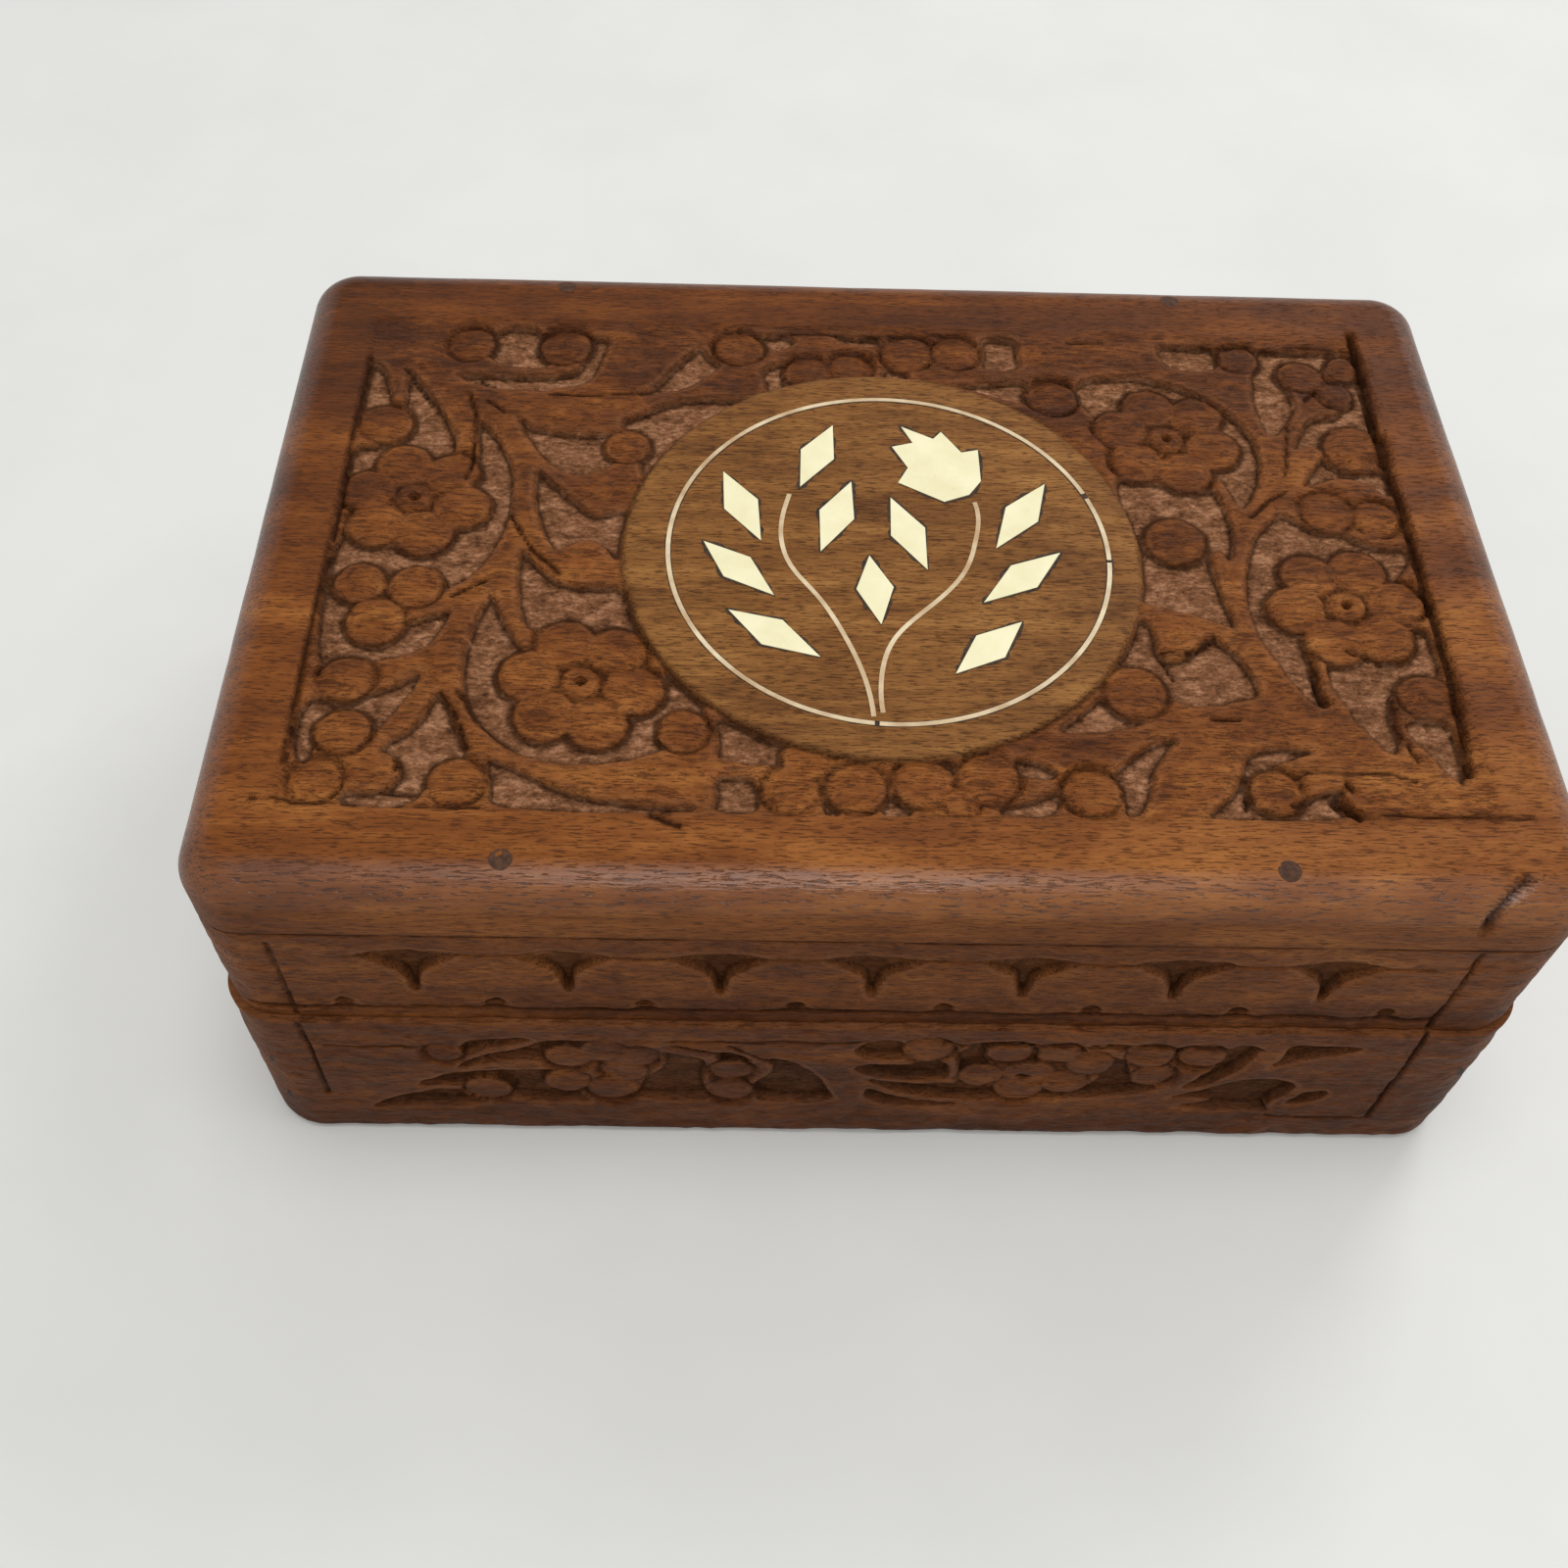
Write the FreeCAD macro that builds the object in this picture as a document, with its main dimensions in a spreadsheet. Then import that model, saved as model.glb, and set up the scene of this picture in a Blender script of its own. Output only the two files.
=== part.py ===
import FreeCAD, Part
import math
import os
import re
import Sketcher
from FreeCAD import Placement, Rotation, Vector

# Carved keepsake box: a base of four boards and a bottom panel, and a lid of four rails under one thick
# board, hinged along the back. Frame: +Z up, +X to the right seen from the front, front towards -Y.
# The origin is the middle of the underside, and lengths are millimetres.

doc = FreeCAD.newDocument("carved_box")

# Driving sizes in millimetres, angles in degrees
SIZES = (
    ("box_width", 152.0),
    ("box_depth", 102.0),
    ("base_height", 29.2),
    ("rail_height", 18.6),
    ("top_thickness", 9.2),
    ("wall_thickness", 9.0),
    ("lid_reveal", 0.8),
    ("corner_radius", 7.0),
    ("top_round", 4.4),
    ("foot_round", 1.5),
    ("bottom_thickness", 5.0),
    ("rebate_width", 4.5),
    ("overrun", 1.0),
    ("fit_gap", 0.05),
    ("carving_depth", 1.2),
    ("side_carving_depth", 1.6),
    ("top_panel_width", 130.0),
    ("top_panel_depth", 77.5),
    ("side_panel_length", 128.0),
    ("end_panel_length", 80.0),
    ("side_panel_height", 17.3),
    ("side_panel_middle", 16.2),
    ("medallion_radius", 31.0),
    ("medallion_drop", 1.5),
    ("bud_radius", 3.2),
    ("petal_radius", 3.4),
    ("petal_orbit", 6.2),
    ("dart_pitch", 17.0),
    ("dart_half_width", 6.6),
    ("dart_height", 9.0),
    ("dart_drop", 3.4),
    ("nick_half_width", 1.8),
    ("nick_height", 2.2),
    ("nick_rise", 3.0),
    ("dart_shift", 1.3),
    ("ring_radius", 26.3),
    ("ring_shift", 0.8),
    ("inlay_width", 0.55),
    ("inlay_depth", 1.2),
    ("inlay_proud", 0.1),
    ("inlay_gap", 0.15),
    ("inlay_leaf_width", 4.4),
    ("peg_radius", 1.25),
    ("peg_length", 16.0),
    ("peg_sink", 0.4),
    ("peg_inset", 35.0),
    ("brad_radius", 0.8),
    ("brad_length", 19.0),
    ("brad_sink", 0.7),
    ("bottom_brad_length", 14.0),
    ("bottom_brad_pitch", 48.0),
    ("hinge_inset", 30.0),
    ("pivot_inset", 2.5),
    ("bevel_angle", 50.5),
    ("leaf_length", 22.0),
    ("leaf_reach", 5.5),
    ("leaf_thickness", 0.9),
    ("leaf_gap", 0.05),
    ("knuckle_radius", 1.9),
    ("knuckle_gap", 0.2),
    ("knuckle_clearance", 0.3),
    ("hinge_pin_radius", 0.8),
    ("screw_place", 6.0),
    ("screw_setback", 3.8),
    ("screw_head_radius", 1.3),
    ("screw_radius", 0.7),
    ("screw_length", 6.0),
)

# Carver's grid: parts counted from the middle of a panel to its rim
TOP_WIDTH_PARTS = 65
TOP_DEPTH_PARTS = 38.75
SIDE_LENGTH_PARTS = 64
SIDE_HEIGHT_PARTS = 8.65

# Sunk ground of the top panel: outlines cut between the raised stems, leaves and borders, counted in parts.
# They run on under the buds, flowers and medallion, which are left standing.
TOP_GROUND_SHARES = (
    ((-65.2, 30.8), (-63.5, 30.2), (-62.2, 26.5), (-61.0, 22.4), (-63.0, 20.0), (-65.4, 20.0), (-65.4, 26.0)),
    ((-60.2, 30.2), (-58.0, 27.0), (-55.7, 23.4), (-53.6, 19.6), (-52.4, 16.4), (-51.8, 11.5), (-54.0, 9.0),
     (-60.0, 7.0), (-65.4, 7.0), (-65.4, 15.6), (-62.0, 15.0), (-60.5, 20.0), (-59.9, 24.5), (-60.4, 27.2)),
    ((-50.4, 20.6), (-48.0, 18.2), (-46.0, 14.6), (-44.7, 10.6), (-44.5, 6.0), (-44.8, 2.0), (-45.7, -2.0),
     (-47.2, -5.2), (-49.4, -7.8), (-51.8, -9.6), (-54.5, -9.5), (-57.5, -12.0), (-55.2, -13.9),
     (-52.6, -12.6), (-49.6, -11.4), (-50.4, -14.2), (-51.9, -17.4), (-54.0, -18.6), (-57.6, -19.6),
     (-60.5, -21.0), (-65.2, -21.0), (-65.2, 2.2), (-62.0, 1.0), (-56.0, 3.0), (-50.0, 5.0), (-49.7, 10.0),
     (-49.9, 15.0)),
    ((-65.2, -25.2), (-62.0, -24.0), (-58.0, -24.4), (-55.0, -22.7), (-52.0, -20.4), (-52.3, -22.8),
     (-54.1, -26.2), (-56.0, -29.6), (-57.2, -31.6), (-60.0, -30.0), (-62.4, -31.5), (-62.6, -33.6),
     (-65.2, -33.6)),
    ((-50.3, -23.0), (-48.5, -26.0), (-47.1, -29.4), (-45.4, -32.8), (-47.0, -34.0), (-50.0, -36.5),
     (-50.4, -39.6), (-59.0, -39.6), (-59.4, -37.4), (-54.2, -37.2), (-53.0, -35.5), (-53.4, -32.8),
     (-56.2, -32.3), (-54.6, -30.3), (-52.6, -29.0), (-51.2, -26.4)),
    ((-45.5, -8.4), (-44.5, -11.8), (-42.9, -15.0), (-40.9, -17.8), (-39.0, -19.5), (-38.0, -26.0),
     (-31.0, -27.0), (-28.0, -25.0), (-25.4, -22.6), (-25.0, -17.5), (-20.0, -24.5), (-20.5, -27.5),
     (-24.0, -31.4), (-28.0, -32.9), (-33.0, -33.7), (-37.0, -33.5), (-40.4, -32.7), (-43.2, -30.7),
     (-45.7, -27.9), (-47.3, -24.8), (-48.0, -21.0), (-47.9, -17.0), (-47.1, -12.8), (-46.2, -10.0)),
    ((-43.1, -1.8), (-41.6, -3.2), (-39.6, -5.6), (-37.6, -7.4), (-34.5, -7.7), (-30.0, -7.4), (-27.0, -14.0),
     (-31.0, -16.5), (-37.0, -16.5), (-40.6, -15.5), (-42.1, -12.6), (-42.9, -8.5), (-43.2, -5.0)),
    ((-42.4, 12.4), (-40.6, 10.0), (-38.0, 7.2), (-35.8, 4.9), (-34.3, 3.9), (-32.4, 4.8), (-30.0, 5.2),
     (-30.0, -2.0), (-31.8, -4.4), (-33.2, -1.2), (-35.4, -0.2), (-37.6, -1.6), (-38.9, -2.6), (-40.5, 0.2),
     (-41.6, 3.6), (-42.3, 7.0)),
    ((-45.8, 21.2), (-43.0, 18.9), (-39.0, 18.3), (-35.5, 18.1), (-32.5, 18.6), (-31.0, 15.0), (-32.8, 12.2),
     (-35.5, 10.7), (-37.7, 10.3), (-40.4, 12.0), (-42.6, 14.8), (-44.5, 17.8)),
    ((-33.0, 20.3), (-30.0, 21.8), (-27.0, 24.1), (-22.5, 25.2), (-17.5, 25.1), (-13.4, 24.6), (-15.5, 21.0),
     (-20.0, 16.0), (-25.0, 10.0), (-28.8, 9.0), (-29.6, 12.0), (-30.0, 15.0), (-30.8, 18.4)),
    ((-49.3, 38.0), (-46.5, 38.4), (-43.8, 37.8), (-42.0, 34.0), (-42.0, 31.0), (-42.6, 29.6), (-47.5, 30.3),
     (-49.2, 30.9), (-51.0, 33.0)),
    ((-37.6, 36.8), (-34.0, 36.2), (-34.8, 33.5), (-35.6, 31.0), (-36.0, 28.2), (-38.5, 26.4), (-44.0, 25.4),
     (-50.5, 26.2), (-55.2, 28.5), (-50.0, 28.9), (-45.0, 28.6), (-41.8, 28.9), (-38.5, 29.6), (-38.0, 32.0),
     (-38.5, 34.5)),
    ((-22.6, 35.6), (-24.8, 32.7), (-26.7, 29.8), (-28.3, 27.0), (-31.0, 25.2), (-27.0, 25.4), (-23.7, 26.9),
     (-21.3, 29.0), (-19.4, 31.6), (-21.5, 33.0)),
    ((-16.4, 37.9), (-13.0, 37.8), (-10.2, 37.6), (-10.0, 35.8), (-12.0, 34.2), (-15.0, 34.0), (-15.6, 35.8)),
    ((-11.0, 32.9), (-11.9, 30.2), (-11.0, 28.0), (-12.2, 24.8), (-14.4, 25.2), (-14.0, 28.0), (-15.0, 30.2),
     (-13.2, 32.0)),
    ((-6.0, 38.1), (1.8, 37.8), (1.8, 35.7), (-1.5, 35.4), (-4.4, 36.5)),
    ((1.0, 32.2), (4.6, 31.4), (5.0, 29.0), (0.8, 28.6)),
    ((14.2, 38.2), (19.8, 38.2), (19.3, 35.0), (20.0, 31.6), (14.6, 31.6), (14.2, 33.0), (14.9, 35.5)),
    ((10.2, 29.0), (14.5, 28.9), (20.0, 30.4), (21.0, 27.0), (20.0, 24.6), (17.0, 25.6), (13.5, 27.1),
     (10.4, 28.2)),
    ((26.2, 29.2), (29.0, 30.9), (34.0, 31.1), (38.0, 30.1), (41.7, 28.4), (44.7, 25.9), (47.0, 23.0),
     (48.4, 19.6), (48.7, 16.0), (48.0, 12.2), (46.8, 9.2), (45.2, 6.6), (43.9, 7.6), (43.4, 11.0),
     (41.5, 14.0), (37.0, 19.0), (30.0, 21.0), (27.2, 24.0), (26.0, 26.8)),
    ((29.4, 12.6), (33.0, 12.2), (36.5, 11.0), (41.4, 12.8), (42.5, 9.5), (43.2, 5.5), (43.1, 1.5),
     (41.9, -2.8), (41.0, 0.0), (39.5, -0.8), (40.0, -4.6), (40.5, -8.6), (41.4, -13.2), (38.6, -11.5),
     (35.0, -10.0), (29.6, -9.4), (29.6, 0.0), (29.6, 8.0)),
    ((37.4, 37.4), (42.4, 37.6), (46.6, 36.8), (46.5, 34.6), (45.6, 32.4), (41.0, 32.0), (38.4, 33.5)),
    ((50.4, 37.0), (56.0, 36.8), (64.2, 36.8), (64.6, 35.2), (62.0, 33.5), (58.0, 32.5), (55.0, 31.0),
     (54.6, 28.6), (55.2, 26.0), (53.6, 22.8), (51.6, 20.2), (50.0, 19.8), (49.5, 23.0), (49.2, 27.0),
     (49.7, 31.0), (50.6, 34.0)),
    ((64.6, 31.6), (62.2, 31.0), (61.6, 27.0), (59.5, 23.8), (57.6, 24.4), (56.0, 23.6), (54.0, 20.4),
     (52.4, 17.2), (56.0, 18.6), (59.0, 17.0), (62.0, 16.5), (64.6, 17.0), (64.7, 24.0)),
    ((56.6, 17.4), (57.4, 15.2), (59.6, 14.0), (62.0, 14.0), (64.4, 15.2), (64.4, 9.3), (62.8, 9.6),
     (61.6, 11.8), (59.0, 12.8), (55.6, 12.2), (52.2, 10.6), (54.2, 13.4), (55.4, 15.4)),
    ((49.6, 7.0), (47.2, 4.8), (45.3, 2.0), (43.9, -1.6), (43.0, -5.2), (42.6, -9.5), (43.1, -13.2),
     (44.4, -17.2), (46.1, -20.9), (48.0, -23.6), (49.7, -24.6), (49.3, -20.5), (48.7, -16.6), (48.5, -12.0),
     (53.0, -8.0), (60.0, -5.0), (62.5, -4.0), (64.2, -1.0), (64.2, 1.6), (61.0, 1.0), (58.0, 2.2),
     (57.0, 3.6), (53.0, 3.6), (51.4, 5.4)),
    ((49.9, -16.2), (53.4, -15.0), (56.6, -16.8), (58.8, -15.0), (60.2, -12.2), (63.9, -11.2), (63.9, -20.5),
     (60.0, -21.0), (57.4, -21.6), (56.4, -25.0), (57.0, -29.4), (55.6, -31.0), (53.9, -28.8), (51.9, -25.4),
     (50.4, -21.0)),
    ((57.4, -25.4), (60.0, -24.5), (63.2, -25.4), (63.2, -31.0), (62.6, -35.4), (60.8, -33.2), (58.8, -29.5),
     (57.4, -27.0)),
    ((28.6, -10.6), (31.0, -11.4), (31.4, -13.6), (31.5, -16.9), (33.2, -17.3), (35.3, -16.0), (37.4, -12.9),
     (39.7, -15.0), (41.5, -18.2), (42.8, -22.4), (39.5, -23.3), (36.0, -24.2), (33.2, -24.2), (31.0, -22.5),
     (28.0, -21.0), (26.0, -20.0), (24.5, -18.5), (28.0, -12.0)),
    ((24.2, -22.2), (21.5, -25.0), (17.4, -28.4), (22.0, -28.3), (26.6, -27.5), (30.0, -26.6), (26.8, -25.8),
     (25.2, -24.0)),
    ((32.6, -28.0), (28.6, -29.3), (25.5, -31.8), (23.3, -33.8), (24.8, -36.0), (24.4, -39.6), (26.8, -39.2),
     (28.0, -36.4), (28.7, -33.4), (30.4, -30.6)),
    ((47.6, -30.2), (43.5, -29.2), (40.0, -29.8), (38.5, -31.6), (37.7, -34.0), (36.5, -36.2), (34.0, -38.2),
     (32.4, -39.5), (46.8, -39.5), (49.3, -38.8), (48.0, -37.2), (50.1, -34.6), (46.0, -35.5), (44.6, -36.6),
     (41.0, -35.0), (39.6, -34.2), (41.3, -32.5), (44.0, -31.6)),
    ((13.0, -31.4), (15.0, -31.6), (18.6, -33.4), (17.6, -34.8), (14.6, -34.6), (13.4, -33.2)),
    ((11.0, -38.0), (15.0, -37.0), (18.4, -35.5), (18.0, -39.0), (16.0, -39.7), (10.6, -39.6)),
    ((4.4, -32.0), (7.2, -31.8), (6.9, -35.6)),
    ((-7.7, -36.2), (-4.8, -40.0), (-8.0, -40.0)),
    ((-2.0, -38.0), (0.2, -36.2), (2.6, -39.0), (1.6, -40.0), (-1.4, -40.0)),
    ((-19.8, -34.5), (-14.6, -34.5), (-14.4, -36.5), (-13.8, -39.8), (-19.8, -39.8), (-18.9, -37.0)),
    ((-20.0, -26.5), (-16.5, -27.0), (-10.6, -29.0), (-10.2, -31.6), (-11.4, -33.6), (-15.5, -33.3),
     (-19.6, -32.6), (-18.7, -30.0)),
    ((-44.2, -32.4), (-41.4, -33.5), (-39.6, -34.5), (-36.6, -36.3), (-32.0, -37.7), (-26.0, -38.5),
     (-20.6, -38.9), (-20.6, -39.9), (-43.2, -39.9), (-43.2, -37.0), (-43.8, -34.6)),
)

# Buds and single petals left standing on the top panel: place as shares of half the panel's width and depth,
# then a share of the bud's radius
TOP_BUD_SHARES = (
    (-0.95, 0.495, 1.10), (-0.94, -0.20, 0.97), (-0.84, -0.21, 1.00), (-0.90, -0.35, 1.09),
    (-0.93, -0.57, 1.03), (-0.92, -0.76, 1.00), (-0.95, -0.93, 0.94), (-0.72, -0.93, 1.00),
    (-0.81, 0.89, 1.00), (-0.62, 0.89, 1.09), (-0.48, 0.41, 0.91), (-0.35, -0.74, 0.91),
    (-0.27, 0.90, 1.06), (-0.13, 0.78, 1.00), (-0.045, 0.81, 0.94), (0.07, 0.89, 1.09),
    (0.17, 0.90, 1.03), (0.355, 0.685, 1.06), (0.75, 0.90, 0.87), (0.87, 0.82, 0.97),
    (0.93, 0.73, 0.75), (0.965, 0.865, 0.75), (0.94, 0.47, 1.31), (0.85, 0.18, 1.09), (0.94, 0.15, 0.94),
    (0.55, 0.04, 1.19), (0.43, -0.57, 1.17), (0.94, -0.57, 1.03), (0.64, -0.92, 0.94),
    (0.33, -0.93, 1.03), (-0.14, -0.83, 0.94), (-0.17, -0.94, 1.00), (-0.06, -0.93, 1.06),
    (0.05, -0.91, 1.06), (0.16, -0.89, 1.08), (0.11, -0.97, 0.69),
)

# Open flowers of the top panel: place as above, then their turn as a share of the step between petals
TOP_FLOWER_SHARES = ((-0.87, 0.16, -0.20), (-0.53, -0.57, -0.15), (0.57, 0.50, -0.25), (0.84, -0.22, 0.10))
PETAL_COUNT = 6

# Sunk ground and raised buds of the long side panels, counted in parts, then a share of the bud's radius
SIDE_GROUND_SHARES = (
    ((-62.8, -10.6), (-60.0, -7.8), (-56.5, -5.8), (-52.8, -4.6), (-49.6, -4.7), (-48.0, -6.0), (-47.0, -9.2),
     (-52.0, -9.3), (-58.0, -9.5)),
    ((-56.2, -4.1), (-53.6, -1.7), (-50.4, -0.1), (-45.5, 0.9), (-40.0, 1.4), (-38.0, 1.2), (-38.0, -2.0),
     (-37.0, -4.7), (-35.0, -6.6), (-34.0, -8.0), (-43.0, -8.0), (-45.5, -6.0), (-47.0, -4.2), (-50.5, -3.5)),
    ((-50.4, 0.9), (-48.6, 3.3), (-45.4, 5.4), (-41.6, 6.9), (-38.4, 8.8), (-33.0, 8.9), (-30.4, 8.2),
     (-34.0, 6.3), (-37.5, 4.3), (-39.4, 3.1), (-42.0, 3.9), (-45.4, 3.2), (-48.4, 1.5)),
    ((-49.6, 3.8), (-48.9, 8.1), (-46.0, 8.9), (-40.4, 9.5), (-40.4, 8.5), (-43.6, 7.5), (-46.4, 6.1),
     (-48.2, 4.3)),
    ((-25.8, 6.6), (-22.0, 5.1), (-20.2, 4.2), (-19.8, 1.0), (-20.6, -1.6), (-19.8, -5.0), (-19.4, -7.4),
     (-29.0, -7.4), (-28.6, -4.2), (-27.6, -1.2), (-25.4, 1.4), (-24.6, 4.0)),
    ((-19.2, 5.0), (-18.6, 6.4), (-16.4, 6.0), (-14.0, 4.0), (-15.5, 3.5), (-18.0, 2.5)),
    ((-12.9, 5.0), (-10.4, 4.5), (-8.1, 2.5), (-6.1, -0.7), (-4.8, -3.9), (-3.8, -7.4), (-13.8, -7.4),
     (-14.0, -4.8), (-14.3, -1.9), (-12.6, 0.3), (-11.8, 1.9)),
    ((-2.8, 7.2), (-0.6, 9.2), (1.2, 9.7), (3.2, 9.6), (3.4, 7.7), (4.8, 5.2), (2.0, 4.6), (-1.4, 5.0)),
    ((9.4, 5.2), (11.0, 8.3), (12.2, 9.7), (18.8, 9.7), (19.2, 8.4), (16.0, 6.8), (13.4, 6.4), (13.2, 5.0),
     (14.6, 3.2), (12.0, 1.9), (10.6, 0.3), (10.4, 3.2)),
    ((-2.6, 3.0), (2.0, 3.4), (6.0, 4.0), (8.4, 4.2), (9.4, 3.0), (9.6, 0.2), (8.8, -0.6), (5.5, -0.6),
     (1.5, -0.2), (-1.6, 1.0)),
    ((-1.4, -0.2), (3.0, -1.4), (8.0, -1.5), (12.4, -1.3), (14.8, -2.6), (16.8, -5.0), (18.0, -5.9),
     (11.0, -6.1), (6.5, -5.1), (3.0, -3.5), (0.6, -1.9)),
    ((-0.6, -2.8), (2.0, -4.5), (5.0, -6.0), (9.5, -6.9), (15.0, -7.2), (9.0, -7.9), (3.0, -7.8),
     (-0.4, -6.6)),
    ((28.0, 1.4), (29.0, 4.4), (28.4, 6.6), (30.0, 5.4), (31.2, 3.2), (32.4, 0.2), (33.4, -1.8), (35.6, -1.8),
     (37.0, -1.4), (35.4, -2.7), (32.0, -4.0), (27.5, -5.2), (22.5, -5.8), (19.0, -5.6), (20.4, -3.6),
     (22.8, -3.6), (25.6, -2.8), (27.2, -0.8)),
    ((24.4, 9.5), (28.0, 9.6), (31.6, 9.5), (32.0, 7.8), (30.6, 7.2), (29.2, 7.6), (28.4, 8.4)),
    ((35.8, 9.5), (39.6, 9.7), (41.6, 9.4), (40.0, 8.4), (37.4, 7.2), (36.8, 4.8), (36.0, 6.8)),
    ((42.2, 9.7), (45.8, 9.6), (45.6, 6.2), (44.4, 3.0), (42.2, 0.0), (39.8, -1.9), (38.4, -1.9),
     (39.0, -0.6), (40.6, 2.0), (42.0, 5.0), (42.6, 7.4)),
    ((36.8, -5.4), (39.6, -3.6), (43.0, -1.0), (46.8, 0.8), (50.4, 0.8), (52.8, -0.8), (52.8, -3.0),
     (51.0, -5.0), (50.2, -7.0), (51.8, -8.6), (46.0, -8.2), (38.0, -7.6), (41.0, -6.4), (43.6, -5.8),
     (41.6, -5.0)),
    ((52.4, -5.7), (54.0, -3.3), (56.6, -1.9), (57.4, -3.6), (55.6, -5.6), (53.6, -6.5)),
    ((48.8, 9.7), (53.0, 9.7), (59.0, 9.4), (55.6, 7.6), (52.0, 6.2), (49.8, 5.2), (47.6, 3.4), (49.0, 6.4)),
)
SIDE_BUD_SHARES = (
    (-51.2, 5.0, 0.72), (-47.0, -5.0, 0.97), (-36.5, 4.0, 0.91), (-32.2, 5.8, 0.91), (-28.4, 4.3, 0.91),
    (-37.0, -2.6, 0.94), (-31.5, -4.4, 1.06), (-30.0, 0.6, 0.95), (-17.3, -4.4, 0.97), (-17.0, 0.9, 0.88),
    (6.4, 7.0, 1.00), (16.2, 6.4, 0.91), (22.0, 6.4, 0.91), (13.5, 0.3, 0.91), (18.5, -3.2, 1.00),
    (24.0, -1.2, 0.97), (26.2, 4.0, 0.94), (19.2, 1.0, 1.06), (33.0, 6.3, 0.97), (34.4, 1.1, 0.88),
    (39.4, 6.1, 0.94),
)

# Sunk ground of the end panels: one round the middle flower, and one half's sprays that are mirrored
END_MIDDLE_SHARES = ((-0.30, 0.96), (0.30, 0.96), (0.34, 0.00), (0.30, -0.96), (-0.30, -0.96), (-0.34, 0.00))
END_SPRAY_SHARES = (
    ((0.38, -0.92), (0.50, -0.83), (0.65, -0.49), (0.75, 0.09), (0.79, 0.90), (0.71, 0.92), (0.65, 0.21),
     (0.53, -0.37), (0.40, -0.66)),
    ((0.36, -0.37), (0.48, -0.20), (0.58, 0.21), (0.63, 0.90), (0.43, 0.94), (0.38, 0.21)),
    ((0.70, -0.92), (0.85, -0.88), (0.91, -0.25), (0.89, 0.44), (0.84, -0.14), (0.76, -0.60)),
)
END_BUD_SHARES = ((0.50, 0.44, 0.85), (-0.50, 0.44, 0.85))
END_FLOWER_SHARE = 0.80

# Scallop band of the lid: a dart between two scallops and a nick under each, in half widths and heights
DART_SHARES = ((-1.0, 1.0), (-0.6, 0.75), (-0.16, 0.5), (-0.08, 0.0), (0.08, 0.0), (0.16, 0.5), (0.6, 0.75),
               (1.0, 1.0))
NICK_SHARES = ((-1.0, 0.0), (0.0, 1.0), (1.0, 0.0))
LONG_DART_COUNT = 7
SHORT_DART_COUNT = 4

# Inlaid plant: places as shares of the ring's radius from the ring's middle
LEFT_STEM_SHARES = ((-0.10, -0.96), (-0.13, -0.76), (-0.22, -0.50), (-0.34, -0.27), (-0.44, -0.12),
                    (-0.49, 0.11), (-0.47, 0.26), (-0.45, 0.34))
RIGHT_STEM_SHARES = ((-0.06, -0.94), (-0.06, -0.75), (0.00, -0.54), (0.16, -0.35), (0.35, -0.10),
                     (0.40, 0.07), (0.42, 0.19), (0.41, 0.31))
LEAF_SHARES = (
    ((-0.76, 0.48), (-0.58, 0.04)), ((-0.24, 0.81), (-0.40, 0.39)), ((-0.16, 0.43), (-0.31, -0.02)),
    ((0.02, 0.33), (0.17, -0.12)), ((0.75, 0.44), (0.49, 0.02)), ((-0.84, 0.03), (-0.52, -0.29)),
    ((0.78, 0.00), (0.41, -0.31)), ((-0.09, -0.04), (-0.05, -0.45)), ((-0.72, -0.38), (-0.32, -0.64)),
    ((0.57, -0.42), (0.26, -0.72)),
)
LEAF_WAIST_SHARE = 0.48
FLOWER_SHARES = (
    (0.09, 0.81), (0.14, 0.70), (0.04, 0.67), (0.11, 0.53), (0.06, 0.43), (0.27, 0.31), (0.39, 0.36),
    (0.45, 0.45), (0.45, 0.66), (0.37, 0.64), (0.28, 0.78), (0.24, 0.73),
)
RING_STRIP_ANGLES = (
    ("inlay_ring_long", 22.4, 264.4), ("inlay_ring_short", -2.2, 20.4), ("inlay_ring_lower", -94.4, -3.2),
)

# Heights of the brads as shares of the height of the board that they hold
BASE_BRAD_SHARES = (0.3, 0.64)
LID_BRAD_SHARE = 0.74

SIZE_NAMES = [name for name, start in SIZES]

sheet = doc.addObject("Spreadsheet::Sheet", "Sizes")
for row, (name, start) in enumerate(SIZES, start=1):
    sheet.set("A%d" % row, name)
    sheet.set("B%d" % row, str(start))
    sheet.setAlias("B%d" % row, name)
doc.recompute()


# Sizes, formulas and places

def cells(formula):
    """A formula of size names, written as references to the cells of the size table."""
    def reference(word):
        return "Sizes." + word.group() if word.group() in SIZE_NAMES else word.group()
    return re.sub(r"[a-z_]+", reference, formula)


def value(formula):
    """The number that a formula of size names comes to."""
    return float(sheet.evalExpression(cells(formula)))


def place(piece, corner):
    """Bind the place of a piece to three formulas."""
    for axis, formula in zip("xyz", corner):
        piece.setExpression("Placement.Base." + axis, cells(formula))


# Boards, blocks, rods and the cuts between them

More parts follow.
